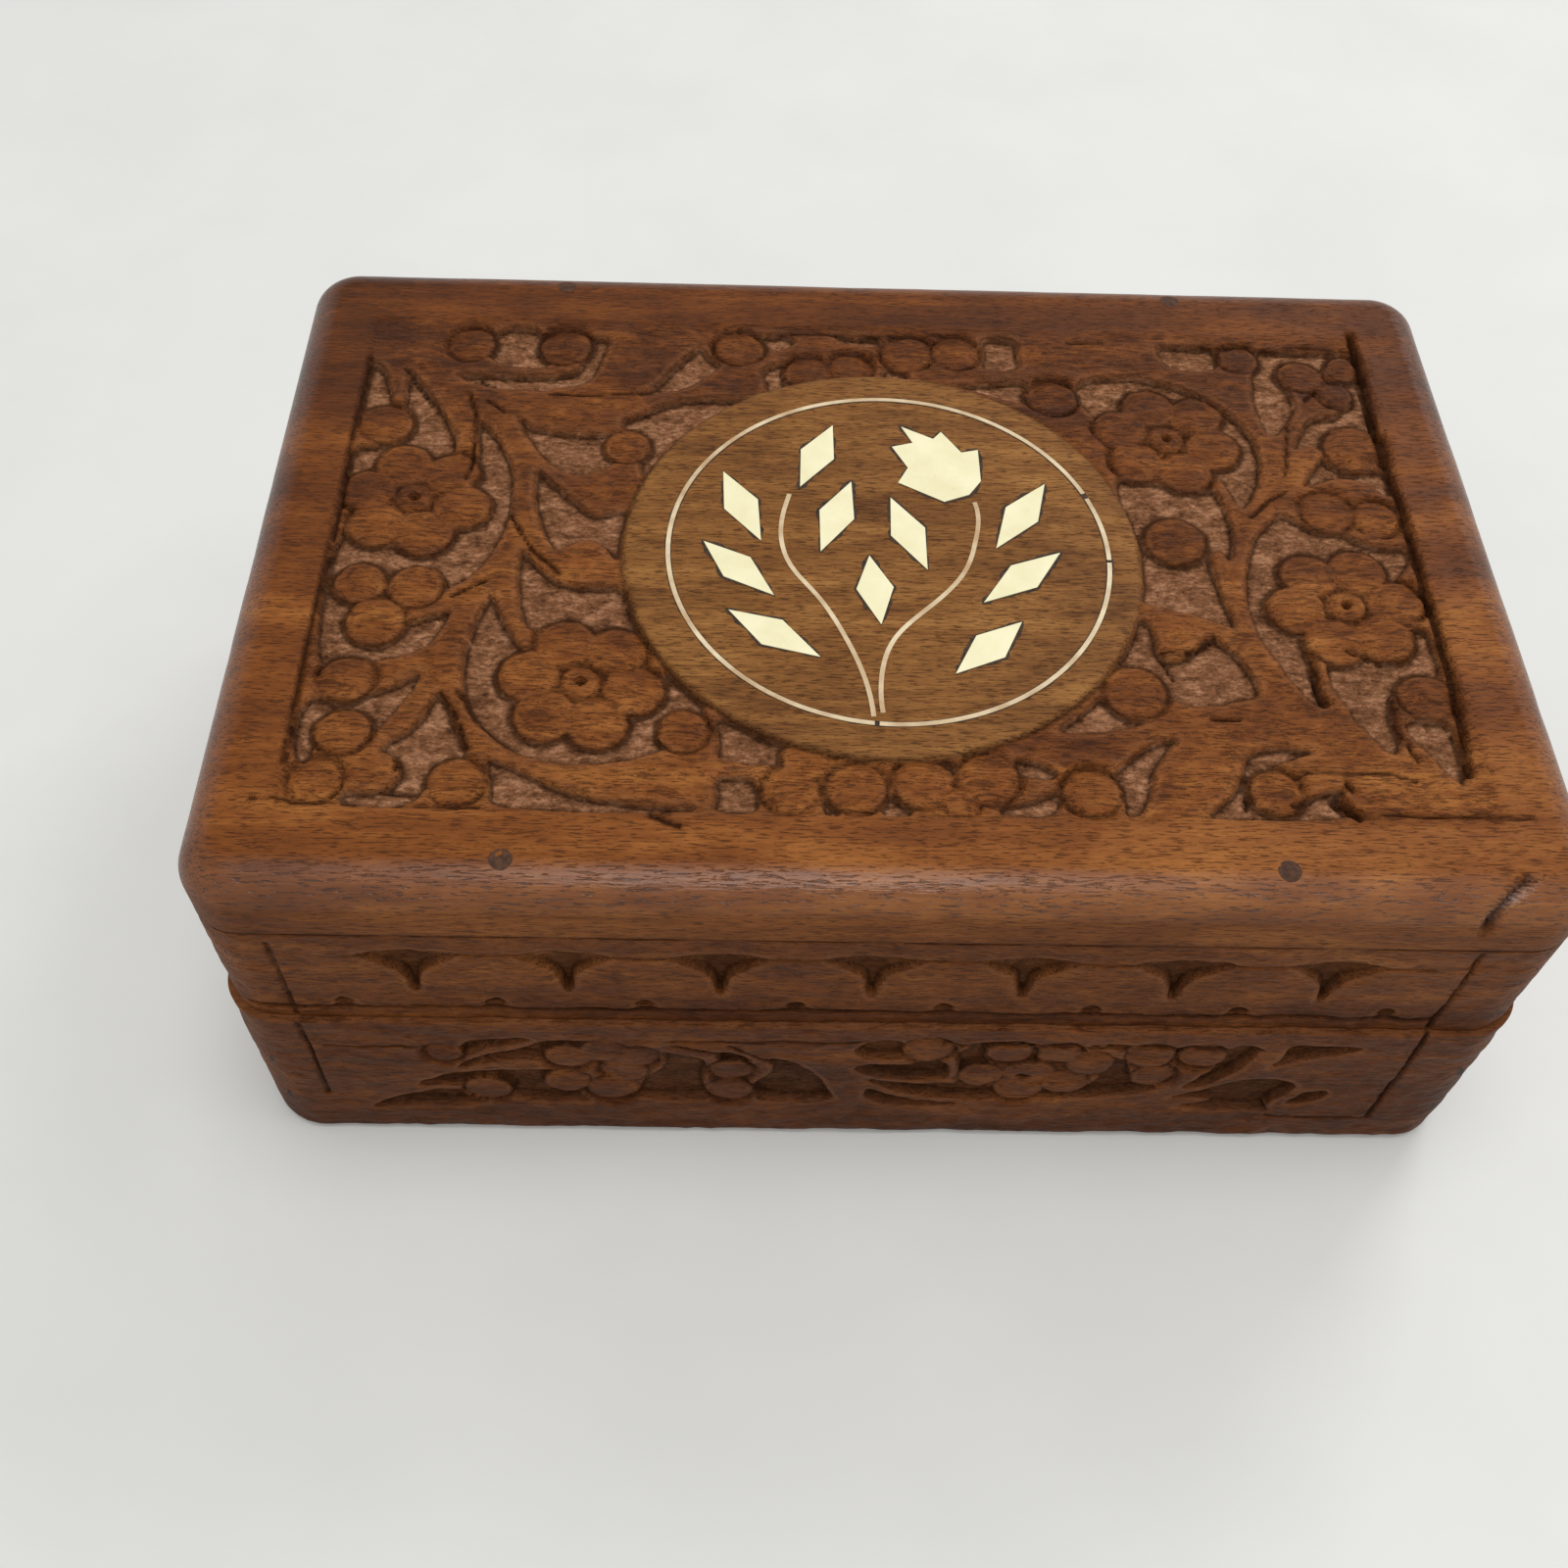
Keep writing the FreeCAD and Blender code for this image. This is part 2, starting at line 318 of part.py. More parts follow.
def outline_sketch(body, name, plane, corners):
    """A closed sketch of straight lines on one of the body's own planes, each corner held by two formulas."""
    sketch = body.newObject("Sketcher::SketchObject", name)
    support = [feature for feature in body.Origin.OriginFeatures if feature.Role == plane][0]
    sketch.AttachmentSupport = [(support, "")]
    sketch.MapMode = "FlatFace"
    points = [Vector(value(across), value(along), 0) for across, along in corners]
    count = len(points)
    for index in range(count):
        sketch.addGeometry(Part.LineSegment(points[index], points[(index + 1) % count]), False)
    for index in range(count):
        sketch.addConstraint(Sketcher.Constraint("Coincident", index, 2, (index + 1) % count, 1))
    for index, (across, along) in enumerate(corners):
        point = points[index]
        for kind, formula, start in (("DistanceX", across, point.x), ("DistanceY", along, point.y)):
            number = sketch.addConstraint(Sketcher.Constraint(kind, -1, 1, index, 1, start))
            sketch.setExpression("Constraints[%d]" % number, cells(formula))
    return sketch


def board(name, length, width, height, corner):
    """A plain board with one corner at its own origin, moved to its place in the box."""
    body = doc.addObject("PartDesign::Body", name)
    plan = outline_sketch(body, name + "_plan", "XY_Plane",
                          (("0", "0"), (length, "0"), (length, width), ("0", width)))
    pad = body.newObject("PartDesign::Pad", name + "_pad")
    pad.Profile = plan
    pad.setExpression("Length", cells(height))
    place(body, corner)
    doc.recompute()
    return body


def round_edges(body, name, radius, chosen):
    """Round the edges of the body's last feature that pass the test on their middle and direction."""
    last = body.Tip
    names = []
    for number, edge in enumerate(last.Shape.Edges, start=1):
        run = edge.Vertexes[-1].Point - edge.Vertexes[0].Point
        if chosen(edge.CenterOfMass, run):
            names.append("Edge%d" % number)
    fillet = body.newObject("PartDesign::Fillet", name)
    fillet.Base = (last, names)
    fillet.setExpression("Radius", cells(radius))
    doc.recompute()


def plane_bevel(body, name, corners):
    """Plane a bevel along the whole length of a board: a pocket right through it along X."""
    before = body.Shape.Volume
    profile = outline_sketch(body, name + "_profile", "YZ_Plane", corners)
    pocket = body.newObject("PartDesign::Pocket", name)
    pocket.Profile = profile
    pocket.Type = "ThroughAll"
    pocket.Reversed = True
    doc.recompute()
    if body.Shape.Volume >= before:
        raise RuntimeError(name + " takes no wood away")


def block(name, length, width, height, corner):
    """A rectangular block bound to formulas."""
    piece = doc.addObject("Part::Box", name)
    piece.setExpression("Length", cells(length))
    piece.setExpression("Width", cells(width))
    piece.setExpression("Height", cells(height))
    place(piece, corner)
    return piece


TURNS = {
    "up": Rotation(),
    "down": Rotation(Vector(1, 0, 0), 180),
    "right": Rotation(Vector(0, 1, 0), 90),
    "back": Rotation(Vector(1, 0, 0), -90),
    "front": Rotation(Vector(1, 0, 0), 90),
}


def rod(name, radius, length, start, heading):
    """A round rod from its starting point towards a heading."""
    piece = doc.addObject("Part::Cylinder", name)
    piece.Placement = Placement(Vector(), TURNS[heading])
    piece.setExpression("Radius", cells(radius))
    piece.setExpression("Height", cells(length))
    place(piece, start)
    return piece


def cone(name, start_radius, end_radius, length, start, heading):
    """A cut cone from its starting point towards a heading."""
    piece = doc.addObject("Part::Cone", name)
    piece.Placement = Placement(Vector(), TURNS[heading])
    piece.setExpression("Radius1", cells(start_radius))
    piece.setExpression("Radius2", cells(end_radius))
    piece.setExpression("Height", cells(length))
    place(piece, start)
    return piece


def joined(name, pieces):
    """Several pieces made into one."""
    union = doc.addObject("Part::MultiFuse", name)
    union.Shapes = pieces
    return union


def grouped(name, pieces):
    """Separate alike pieces kept together under one name."""
    group = doc.addObject("Part::Compound", name)
    group.Links = pieces
    return group


def less(name, whole, cutter):
    """A piece with a cutter taken out of it."""
    rest = doc.addObject("Part::Cut", name)
    rest.Base = whole
    rest.Tool = cutter
    return rest


def shaped(name, shape, position=None):
    """A piece whose outline is worked out here, then moved to its place."""
    piece = doc.addObject("Part::Feature", name)
    piece.Shape = shape
    if position is not None:
        piece.Placement = position
    return piece


# Carving

def smooth_face(points):
    """The face inside a closed smooth curve that is drawn in by the given corner points."""
    curve = Part.BSplineCurve()
    curve.buildFromPoles(points, True, 2)
    return Part.Face(Part.Wire(curve.toShape()))


def round_face(centre, radius):
    """A flat round face."""
    return Part.Face(Part.Wire(Part.makeCircle(radius, centre)))


def sunk(faces, depth):
    """Cutters that sink flat faces into a board's face, which lies at height zero."""
    top = value("overrun")
    solids = []
    for face in faces:
        lifted = face.copy()
        lifted.translate(Vector(0, 0, top))
        solids.append(lifted.extrude(Vector(0, 0, -top - depth)))
    return Part.makeCompound(solids)


def ground_faces(outlines, rounds):
    """The outlines of the sunk ground less the rounds that stay standing in them."""
    faces = []
    for outline in outlines:
        face = smooth_face(outline)
        near = [other for other in rounds if face.BoundBox.intersect(other.BoundBox)]
        rest = face.cut(near) if near else face
        faces.extend(rest.Faces)
    return faces


def flower_rounds(centre, turn, size):
    """The petals of an open flower, set round its heart."""
    step = 2 * math.pi / PETAL_COUNT
    orbit = value("petal_orbit") * size
    radius = value("petal_radius") * size
    rounds = [round_face(centre, radius)]
    for number in range(PETAL_COUNT):
        angle = (number + turn) * step
        spoke = Vector(math.cos(angle), math.sin(angle), 0)
        rounds.append(round_face(centre + spoke * orbit, radius))
    return rounds


def spread(shares, half_length, half_height):
    """Points from their shares of a panel's half sizes."""
    return [Vector(across * half_length, along * half_height, 0) for across, along in shares]


def bud_rounds(bud_shares, half_length, half_height):
    """Round buds from their places and sizes as shares."""
    radius = value("bud_radius")
    return [round_face(Vector(across * half_length, along * half_height, 0), radius * size)
            for across, along, size in bud_shares]


def side_position(turn, face_distance, height):
    """Stand a flat pattern upright on one side of the box: its X runs along the side and its Y runs up."""
    spin = Rotation(Vector(0, 0, 1), turn)
    outward = spin.multVec(Vector(0, -face_distance, 0))
    return Placement(outward + Vector(0, 0, height), spin.multiply(TURNS["front"]))


SIDE_TURNS = {"front": 0, "right": 90, "back": 180, "left": 270}


def top_ground():
    """The sunk ground of the top panel."""
    half_width = value("top_panel_width / 2")
    half_depth = value("top_panel_depth / 2")
    rounds = bud_rounds(TOP_BUD_SHARES, half_width, half_depth)
    for across, along, turn in TOP_FLOWER_SHARES:
        rounds.extend(flower_rounds(Vector(across * half_width, along * half_depth, 0), turn, 1))
    rounds.append(round_face(Vector(0, -value("medallion_drop"), 0), value("medallion_radius")))
    outlines = [spread(shares, half_width / TOP_WIDTH_PARTS, half_depth / TOP_DEPTH_PARTS)
                for shares in TOP_GROUND_SHARES]
    height = value("base_height + rail_height + top_thickness")
    return shaped("top_ground", sunk(ground_faces(outlines, rounds), value("carving_depth")),
                  Placement(Vector(0, 0, height), Rotation()))


def long_side_ground(side):
    """The sunk ground of the carved panel on the front or the back board."""
    length_part = value("side_panel_length / 2") / SIDE_LENGTH_PARTS
    height_part = value("side_panel_height / 2") / SIDE_HEIGHT_PARTS
    outlines = [spread(shares, length_part, height_part) for shares in SIDE_GROUND_SHARES]
    rounds = bud_rounds(SIDE_BUD_SHARES, length_part, height_part)
    return shaped("base_%s_ground" % side, sunk(ground_faces(outlines, rounds), value("side_carving_depth")),
                  side_position(SIDE_TURNS[side], value("box_depth / 2"), value("side_panel_middle")))


def end_ground(side):
    """The sunk ground of the carved panel on an end board: a flower between mirrored sprays."""
    half_length = value("end_panel_length / 2")
    half_height = value("side_panel_height / 2")
    outlines = [spread(END_MIDDLE_SHARES, half_length, half_height)]
    for shares in END_SPRAY_SHARES:
        outlines.append(spread(shares, half_length, half_height))
        outlines.append(spread(shares, -half_length, half_height))
    rounds = bud_rounds(END_BUD_SHARES, half_length, half_height)
    rounds.extend(flower_rounds(Vector(), 0, END_FLOWER_SHARE))
    return shaped("base_%s_ground" % side, sunk(ground_faces(outlines, rounds), value("side_carving_depth")),
                  side_position(SIDE_TURNS[side], value("box_width / 2"), value("side_panel_middle")))


def scallop_cuts(side, count, shift, face_distance):
    """The darts between the scallops of a lid rail and the nicks on the line below, shifted to the left."""
    pitch = value("dart_pitch")
    dart_foot = value("rail_height - dart_drop - dart_height")
    faces = []
    for number in range(count):
        middle = (number - (count - 1) / 2) * pitch - shift
        points = spread(DART_SHARES, value("dart_half_width"), value("dart_height"))
        faces.append(smooth_face([point + Vector(middle, dart_foot, 0) for point in points]))
    for number in range(count + 1):
        middle = (number - count / 2) * pitch - shift
        points = spread(NICK_SHARES, value("nick_half_width"), value("nick_height"))
        faces.append(smooth_face([point + Vector(middle, value("nick_rise"), 0) for point in points]))
    return shaped("lid_%s_scallops" % side, sunk(faces, value("side_carving_depth")),
                  side_position(SIDE_TURNS[side], face_distance, value("base_height")))


# Inlay

def ribbon_face(points, half_width, lengthening):
    """A strip of even width along a smooth path, lengthened a little at both ends."""
    path = Part.BSplineCurve()
    path.interpolate(points)
    first, last = path.FirstParameter, path.LastParameter
    left, right = [], []
    steps = 2 * len(points)
    for step in range(steps + 1):
        parameter = first + (last - first) * step / steps
        along = path.tangent(parameter)[0]
        point = path.value(parameter)
        if step == 0:
            point = point - along * lengthening
        if step == steps:
            point = point + along * lengthening
        across = Vector(-along.y, along.x, 0) * half_width
        left.append(point + across)
        right.append(point - across)
    left_edge, right_edge = Part.BSplineCurve(), Part.BSplineCurve()
    left_edge.interpolate(left)
    right_edge.interpolate(right)
    edges = [left_edge.toShape(), Part.makeLine(left[-1], right[-1]), right_edge.toShape(),
             Part.makeLine(right[0], left[0])]
    return Part.Face(Part.Wire(Part.__sortEdges__(edges)))


def ring_face(radius, half_width, start, end):
    """A bent strip: part of a flat ring between two angles."""
    outer = Part.makeCircle(radius + half_width, Vector(), Vector(0, 0, 1), start, end)
    inner = Part.makeCircle(radius - half_width, Vector(), Vector(0, 0, 1), start, end)
    first = Part.makeLine(inner.valueAt(inner.FirstParameter), outer.valueAt(outer.FirstParameter))
    last = Part.makeLine(outer.valueAt(outer.LastParameter), inner.valueAt(inner.LastParameter))
    return Part.Face(Part.Wire(Part.__sortEdges__([first, outer, last, inner])))


def leaf_face(tip, foot, width):
    """A lozenge leaf from tip to foot."""
    along = foot - tip
    waist = tip + along * LEAF_WAIST_SHARE
    across = Vector(-along.y, along.x, 0).normalize() * (width / 2)
    return Part.Face(Part.makePolygon([tip, waist + across, foot, waist - across, tip]))


def inlay_shapes():
    """Name, face and pocket face of every inlaid piece, in the plane of the ring with its middle at zero."""
    radius = value("ring_radius")
    half_width = value("inlay_width / 2")
    gap = value("inlay_gap")
    shapes = []
    for name, start, end in RING_STRIP_ANGLES:
        margin = math.degrees(gap / radius)
        shapes.append((name, ring_face(radius, half_width, start, end),
                       ring_face(radius, half_width + gap, start - margin, end + margin)))
    for name, shares in (("inlay_stem_left", LEFT_STEM_SHARES), ("inlay_stem_right", RIGHT_STEM_SHARES)):
        points = spread(shares, radius, radius)
        shapes.append((name, ribbon_face(points, half_width, 0), ribbon_face(points, half_width + gap, gap)))
    for number, (tip_shares, foot_shares) in enumerate(LEAF_SHARES, start=1):
        tip, foot = spread((tip_shares, foot_shares), radius, radius)
        face = leaf_face(tip, foot, value("inlay_leaf_width"))
        shapes.append(("inlay_leaf_%02d" % number, face, face.makeOffset2D(gap, 2)))
    points = spread(FLOWER_SHARES, radius, radius)
    face = Part.Face(Part.makePolygon(points + points[:1]))
    shapes.append(("inlay_flower", face, face.makeOffset2D(gap, 2)))
    return shapes


# Base boards, the panel under them and the brads that hold them

def outer_corner(front_at, width):
    """A test for the two upright edges on the outer side of a long board."""
    near = value("fit_gap")
    face = 0 if front_at else value(width)
    return lambda middle, run: abs(middle.y - face) < near and abs(run.z) > near


def low_outer(front_at, width):
    """A test for the lowest edges of a long board, all but the one on its inner side."""
    near = value("fit_gap")
    inner = value(width) if front_at else 0
    return lambda middle, run: abs(middle.z) < near and abs(middle.y - inner) > near


HALF_WIDTH = "box_width / 2"
HALF_DEPTH = "box_depth / 2"
LID_HALF_WIDTH = "(box_width / 2 - lid_reveal)"
LID_HALF_DEPTH = "(box_depth / 2 - lid_reveal)"
INNER_DEPTH = "(box_depth - 2 * wall_thickness)"
RAIL_THICKNESS = "(wall_thickness - lid_reveal)"
LID_CORNER_RADIUS = "(corner_radius - lid_reveal)"
HINGE_PLACE = "(box_width / 2 - hinge_inset)"
PIVOT_PLACE = "(box_depth / 2 - pivot_inset)"
TOP_LEVEL = "(base_height + rail_height + top_thickness)"
BRAD_LINE = "(box_width / 2 - wall_thickness / 2)"
LID_BRAD_LINE = "(box_width / 2 - lid_reveal / 2 - wall_thickness / 2)"
PEG_PLACE = "(box_width / 2 - peg_inset)"
PEG_LINE = "(box_depth / 2 - lid_reveal / 2 - wall_thickness / 2)"
KNUCKLE_LENGTH = "((leaf_length - 2 * knuckle_gap) / 3)"
KNUCKLE_ROOM = "(knuckle_radius + knuckle_clearance)"

front_blank = board("base_front_blank", "box_width", "wall_thickness", "base_height",
                    ("-" + HALF_WIDTH, "-" + HALF_DEPTH, "0"))
round_edges(front_blank, "base_front_corners", "corner_radius", outer_corner(True, "wall_thickness"))
round_edges(front_blank, "base_front_foot", "foot_round", low_outer(True, "wall_thickness"))

back_blank = board("base_back_blank", "box_width", "wall_thickness", "base_height",
                   ("-" + HALF_WIDTH, HALF_DEPTH + " - wall_thickness", "0"))
round_edges(back_blank, "base_back_corners", "corner_radius", outer_corner(False, "wall_thickness"))
round_edges(back_blank, "base_back_foot", "foot_round", low_outer(False, "wall_thickness"))
plane_bevel(back_blank, "base_back_bevel", (
    ("wall_thickness - pivot_inset", "base_height"),
    ("wall_thickness - pivot_inset", "base_height + overrun"),
    ("wall_thickness + overrun", "base_height + overrun"),
    ("wall_thickness + overrun", "base_height - (pivot_inset + overrun) * tan(bevel_angle)")))

end_blanks = {}
for side, corner_x in (("left", "-" + HALF_WIDTH), ("right", HALF_WIDTH + " - wall_thickness")):
    blank = board("base_%s_blank" % side, "wall_thickness", INNER_DEPTH, "base_height",
                  (corner_x, "wall_thickness - " + HALF_DEPTH, "0"))
    outer_face = 0 if side == "left" else value("wall_thickness")
    near_gap = value("fit_gap")
    round_edges(blank, "base_%s_foot" % side, "foot_round",
                lambda middle, run: abs(middle.z) < near_gap and abs(middle.x - outer_face) < near_gap)
    end_blanks[side] = blank

PANEL_WIDTH = "(box_width - 2 * wall_thickness + 2 * rebate_width)"
PANEL_DEPTH = "(box_depth - 2 * wall_thickness + 2 * rebate_width)"
bottom_blank = board("base_bottom_blank", PANEL_WIDTH, PANEL_DEPTH, "bottom_thickness",
                     (PANEL_WIDTH + " / -2", PANEL_DEPTH + " / -2", "0"))
rebate = block("bottom_rebate", PANEL_WIDTH + " + 2 * fit_gap", PANEL_DEPTH + " + 2 * fit_gap",
               "bottom_thickness + overrun",
               (PANEL_WIDTH + " / -2 - fit_gap", PANEL_DEPTH + " / -2 - fit_gap", "-overrun"))

# Brads through the front and back boards into the ends, and their holes
base_brads, base_brad_holes = [], []
for side, sign, heading in (("front", "-", "back"), ("back", "", "front")):
    for end, end_sign in (("left", "-"), ("right", "")):
        for number, share in enumerate(BASE_BRAD_SHARES, start=1):
            name = "base_brad_%s_%s_%d" % (side, end, number)
            height = "base_height * %g" % share
            head = sign + "(" + HALF_DEPTH + " - brad_sink)"
            outside = sign + "(" + HALF_DEPTH + " + overrun)"
            line = end_sign + BRAD_LINE
            base_brads.append(rod(name, "brad_radius", "brad_length", (line, head, height), heading))
            base_brad_holes.append(rod(name + "_hole", "brad_radius + fit_gap",
                                       "brad_length + brad_sink + overrun + fit_gap",
                                       (line, outside, height), heading))
grouped("base_corner_brads", base_brads)

# Brads up through the bottom panel into the boards, and their holes
bottom_brads, bottom_brad_holes = [], []
LONG_BRAD_LINE = "(box_depth / 2 - wall_thickness + rebate_width / 2)"
SHORT_BRAD_LINE = "(box_width / 2 - wall_thickness + rebate_width / 2)"
spots = []
for sign in ("-", ""):
    for step in (-1, 0, 1):
        spots.append(("bottom_brad_pitch * %d" % step, sign + LONG_BRAD_LINE))
    for step in (-1, 1):
        spots.append((sign + SHORT_BRAD_LINE, "bottom_brad_pitch * %d / 2" % step))
for number, (across, along) in enumerate(spots, start=1):
    name = "bottom_brad_%02d" % number
    bottom_brads.append(rod(name, "brad_radius", "bottom_brad_length", (across, along, "0"), "up"))
    bottom_brad_holes.append(rod(name + "_hole", "brad_radius + fit_gap",
                                 "bottom_brad_length + overrun + fit_gap", (across, along, "-overrun"), "up"))
grouped("bottom_brads", bottom_brads)

# Lid rails, the board over them, the pegs and the brads
lid_front_blank = board("lid_front_blank", "2 * " + LID_HALF_WIDTH, RAIL_THICKNESS, "rail_height",
                        ("-" + LID_HALF_WIDTH, "-" + LID_HALF_DEPTH, "base_height"))
round_edges(lid_front_blank, "lid_front_corners", LID_CORNER_RADIUS, outer_corner(True, RAIL_THICKNESS))

lid_back_blank = board("lid_back_blank", "2 * " + LID_HALF_WIDTH, RAIL_THICKNESS, "rail_height",
                       ("-" + LID_HALF_WIDTH, LID_HALF_DEPTH + " - " + RAIL_THICKNESS, "base_height"))
round_edges(lid_back_blank, "lid_back_corners", LID_CORNER_RADIUS, outer_corner(False, RAIL_THICKNESS))
plane_bevel(lid_back_blank, "lid_back_bevel", (
    ("wall_thickness - pivot_inset", "0"),
    ("wall_thickness - pivot_inset", "-overrun"),
    ("wall_thickness + overrun", "-overrun"),
    ("wall_thickness + overrun", "(pivot_inset + overrun) * tan(bevel_angle)")))

lid_end_blanks = {}
for side, corner_x in (("left", "-" + LID_HALF_WIDTH), ("right", LID_HALF_WIDTH + " - " + RAIL_THICKNESS)):
    lid_end_blanks[side] = board("lid_%s_blank" % side, RAIL_THICKNESS, INNER_DEPTH, "rail_height",
                                 (corner_x, "wall_thickness - " + HALF_DEPTH, "base_height"))

top_blank = board("lid_top_blank", "2 * " + LID_HALF_WIDTH, "2 * " + LID_HALF_DEPTH, "top_thickness",
                  ("-" + LID_HALF_WIDTH, "-" + LID_HALF_DEPTH, "base_height + rail_height"))
round_edges(top_blank, "lid_top_corners", LID_CORNER_RADIUS,
            lambda middle, run: abs(run.z) > value("fit_gap"))
board_height = value("top_thickness")
round_edges(top_blank, "lid_top_edge", "top_round",
            lambda middle, run: abs(middle.z - board_height) < value("fit_gap"))

lid_brads, lid_brad_holes = [], []
for side, sign, heading in (("front", "-", "back"), ("back", "", "front")):
    for end, end_sign in (("left", "-"), ("right", "")):
        name = "lid_brad_%s_%s" % (side, end)
        height = "base_height + rail_height * %g" % LID_BRAD_SHARE
        head = sign + "(" + LID_HALF_DEPTH + " - brad_sink)"
        outside = sign + "(" + LID_HALF_DEPTH + " + overrun)"
        line = end_sign + LID_BRAD_LINE
        lid_brads.append(rod(name, "brad_radius", "brad_length", (line, head, height), heading))
        lid_brad_holes.append(rod(name + "_hole", "brad_radius + fit_gap",
                                  "brad_length + brad_sink + overrun + fit_gap",
                                  (line, outside, height), heading))
grouped("lid_corner_brads", lid_brads)

pegs, peg_holes = [], []
for side, sign in (("front", "-"), ("back", "")):
    for end, end_sign in (("left", "-"), ("right", "")):
        name = "peg_%s_%s" % (side, end)
        spot = (end_sign + PEG_PLACE, sign + PEG_LINE)
        pegs.append(rod(name, "peg_radius", "peg_length", spot + (TOP_LEVEL + " - peg_sink",), "down"))
        peg_holes.append(rod(name + "_hole", "peg_radius + fit_gap",
                             "peg_length + peg_sink + overrun + fit_gap",
                             spot + (TOP_LEVEL + " + overrun",), "down"))
grouped("top_pegs", pegs)

# Hinges: two leaves, a pin and four screws each, with the room that they need in the wood
hinge_room = {"base": [], "lid": []}
hinge_screws = {"base": [], "lid": []}
for side, centre in (("left", "(-" + HINGE_PLACE + ")"), ("right", HINGE_PLACE)):
    middle_start = centre + " - " + KNUCKLE_LENGTH + " / 2"
    outer_starts = (centre + " - leaf_length / 2", centre + " + leaf_length / 2 - " + KNUCKLE_LENGTH)
    bore = rod("hinge_%s_bore" % side, "hinge_pin_radius + fit_gap", "leaf_length + 2 * overrun",
               (centre + " - leaf_length / 2 - overrun", PIVOT_PLACE, "base_height"), "right")
    rod("hinge_%s_pin" % side, "hinge_pin_radius", "leaf_length",
        (centre + " - leaf_length / 2", PIVOT_PLACE, "base_height"), "right")
    for half, knuckle_starts in (("base", outer_starts), ("lid", (middle_start,))):
        stem = "hinge_%s_%s_leaf" % (side, half)
        low = "base_height - leaf_gap - leaf_thickness" if half == "base" else "base_height + leaf_gap"
        pieces = [block(stem + "_plate", "leaf_length", "leaf_reach - " + KNUCKLE_ROOM, "leaf_thickness",
                        (centre + " - leaf_length / 2", PIVOT_PLACE + " - leaf_reach", low))]
        for number, start in enumerate(knuckle_starts, start=1):
            pieces.append(block("%s_tab_%d" % (stem, number), KNUCKLE_LENGTH, KNUCKLE_ROOM, "leaf_thickness",
                                (start, PIVOT_PLACE + " - " + KNUCKLE_ROOM, low)))
            pieces.append(rod("%s_knuckle_%d" % (stem, number), "knuckle_radius", KNUCKLE_LENGTH,
                              (start, PIVOT_PLACE, "base_height"), "right"))
        heading = "down" if half == "base" else "up"
        face = "base_height - leaf_gap" if half == "base" else "base_height + leaf_gap"
        shank = "base_height - leaf_gap - leaf_thickness" if half == "base" else \
            "base_height + leaf_gap + leaf_thickness"
        cutters = [bore]
        for number, offset in (("1", " - screw_place"), ("2", " + screw_place")):
            name = "%s_screw_%s" % (stem, number)
            spot = (centre + offset, PIVOT_PLACE + " - screw_setback")
            head = cone(name + "_head", "screw_head_radius", "screw_radius", "leaf_thickness",
                        spot + (face,), heading)
            shaft = rod(name + "_shank", "screw_radius", "screw_length", spot + (shank,), heading)
            hinge_screws[half].append(joined(name, [head, shaft]))
            cutters.append(cone(name + "_sink", "screw_head_radius + fit_gap", "screw_radius + fit_gap",
                                "leaf_thickness", spot + (face,), heading))
            hinge_room[half].append(rod(name + "_hole", "screw_radius + fit_gap", "screw_length + fit_gap",
                                        spot + (shank,), heading))
        less(stem, joined(stem + "_blank", pieces), joined(stem + "_cuts", cutters))
        mortise_low = low if half == "base" else "base_height - overrun"
        hinge_room[half].append(block(stem + "_mortise", "leaf_length + 2 * fit_gap", "leaf_reach + fit_gap",
                                      "leaf_thickness + leaf_gap + overrun",
                                      (centre + " - leaf_length / 2 - fit_gap",
                                       PIVOT_PLACE + " - leaf_reach - fit_gap", mortise_low)))
        notch_low = "base_height - " + KNUCKLE_ROOM if half == "base" else "base_height - overrun"
        hinge_room[half].append(block(stem + "_notch", "leaf_length + 2 * knuckle_clearance",
                                      KNUCKLE_ROOM + " + pivot_inset + overrun", KNUCKLE_ROOM + " + overrun",
                                      (centre + " - leaf_length / 2 - knuckle_clearance",
                                       PIVOT_PLACE + " - " + KNUCKLE_ROOM, notch_low)))
for half in ("base", "lid"):
    grouped("hinge_%s_screws" % half, hinge_screws[half])
doc.recompute()

# Inlaid pieces and the pockets that take them
pocket_solids = []
ring_middle = Placement(Vector(value("ring_shift"), -value("medallion_drop"), value(TOP_LEVEL)), Rotation())
inlay_names = []
for name, face, pocket in inlay_shapes():
    lowered = face.copy()
    lowered.translate(Vector(0, 0, -value("inlay_depth")))
    shaped(name, lowered.extrude(Vector(0, 0, value("inlay_depth + inlay_proud"))), ring_middle)
    inlay_names.append(name)
    pocket_solids.extend(sunk([pocket], value("inlay_depth")).Solids)
inlay_pockets = shaped("inlay_pockets", pocket_solids[0].multiFuse(pocket_solids[1:]), ring_middle)

# Finished boards: each blank less its carving, then less the room for what is let into it
lid_half_depth, lid_half_width = value(LID_HALF_DEPTH), value(LID_HALF_WIDTH)
dart_shift = value("dart_shift")
bottom_room = joined("bottom_room", [rebate] + bottom_brad_holes)
base_brad_room = grouped("base_brad_room", base_brad_holes)
lid_brad_room = grouped("lid_brad_room", lid_brad_holes)
peg_room = grouped("peg_room", peg_holes)


def finish(name, blank, carving, *rooms):
    """Carve a blank and cut the room for what is let into it."""
    piece = less(name + "_carved", blank, carving) if carving else blank
    for number, room in enumerate(rooms, start=1):
        last = number == len(rooms)
        piece = less(name if last else "%s_cut_%d" % (name, number), piece, room)
    return piece


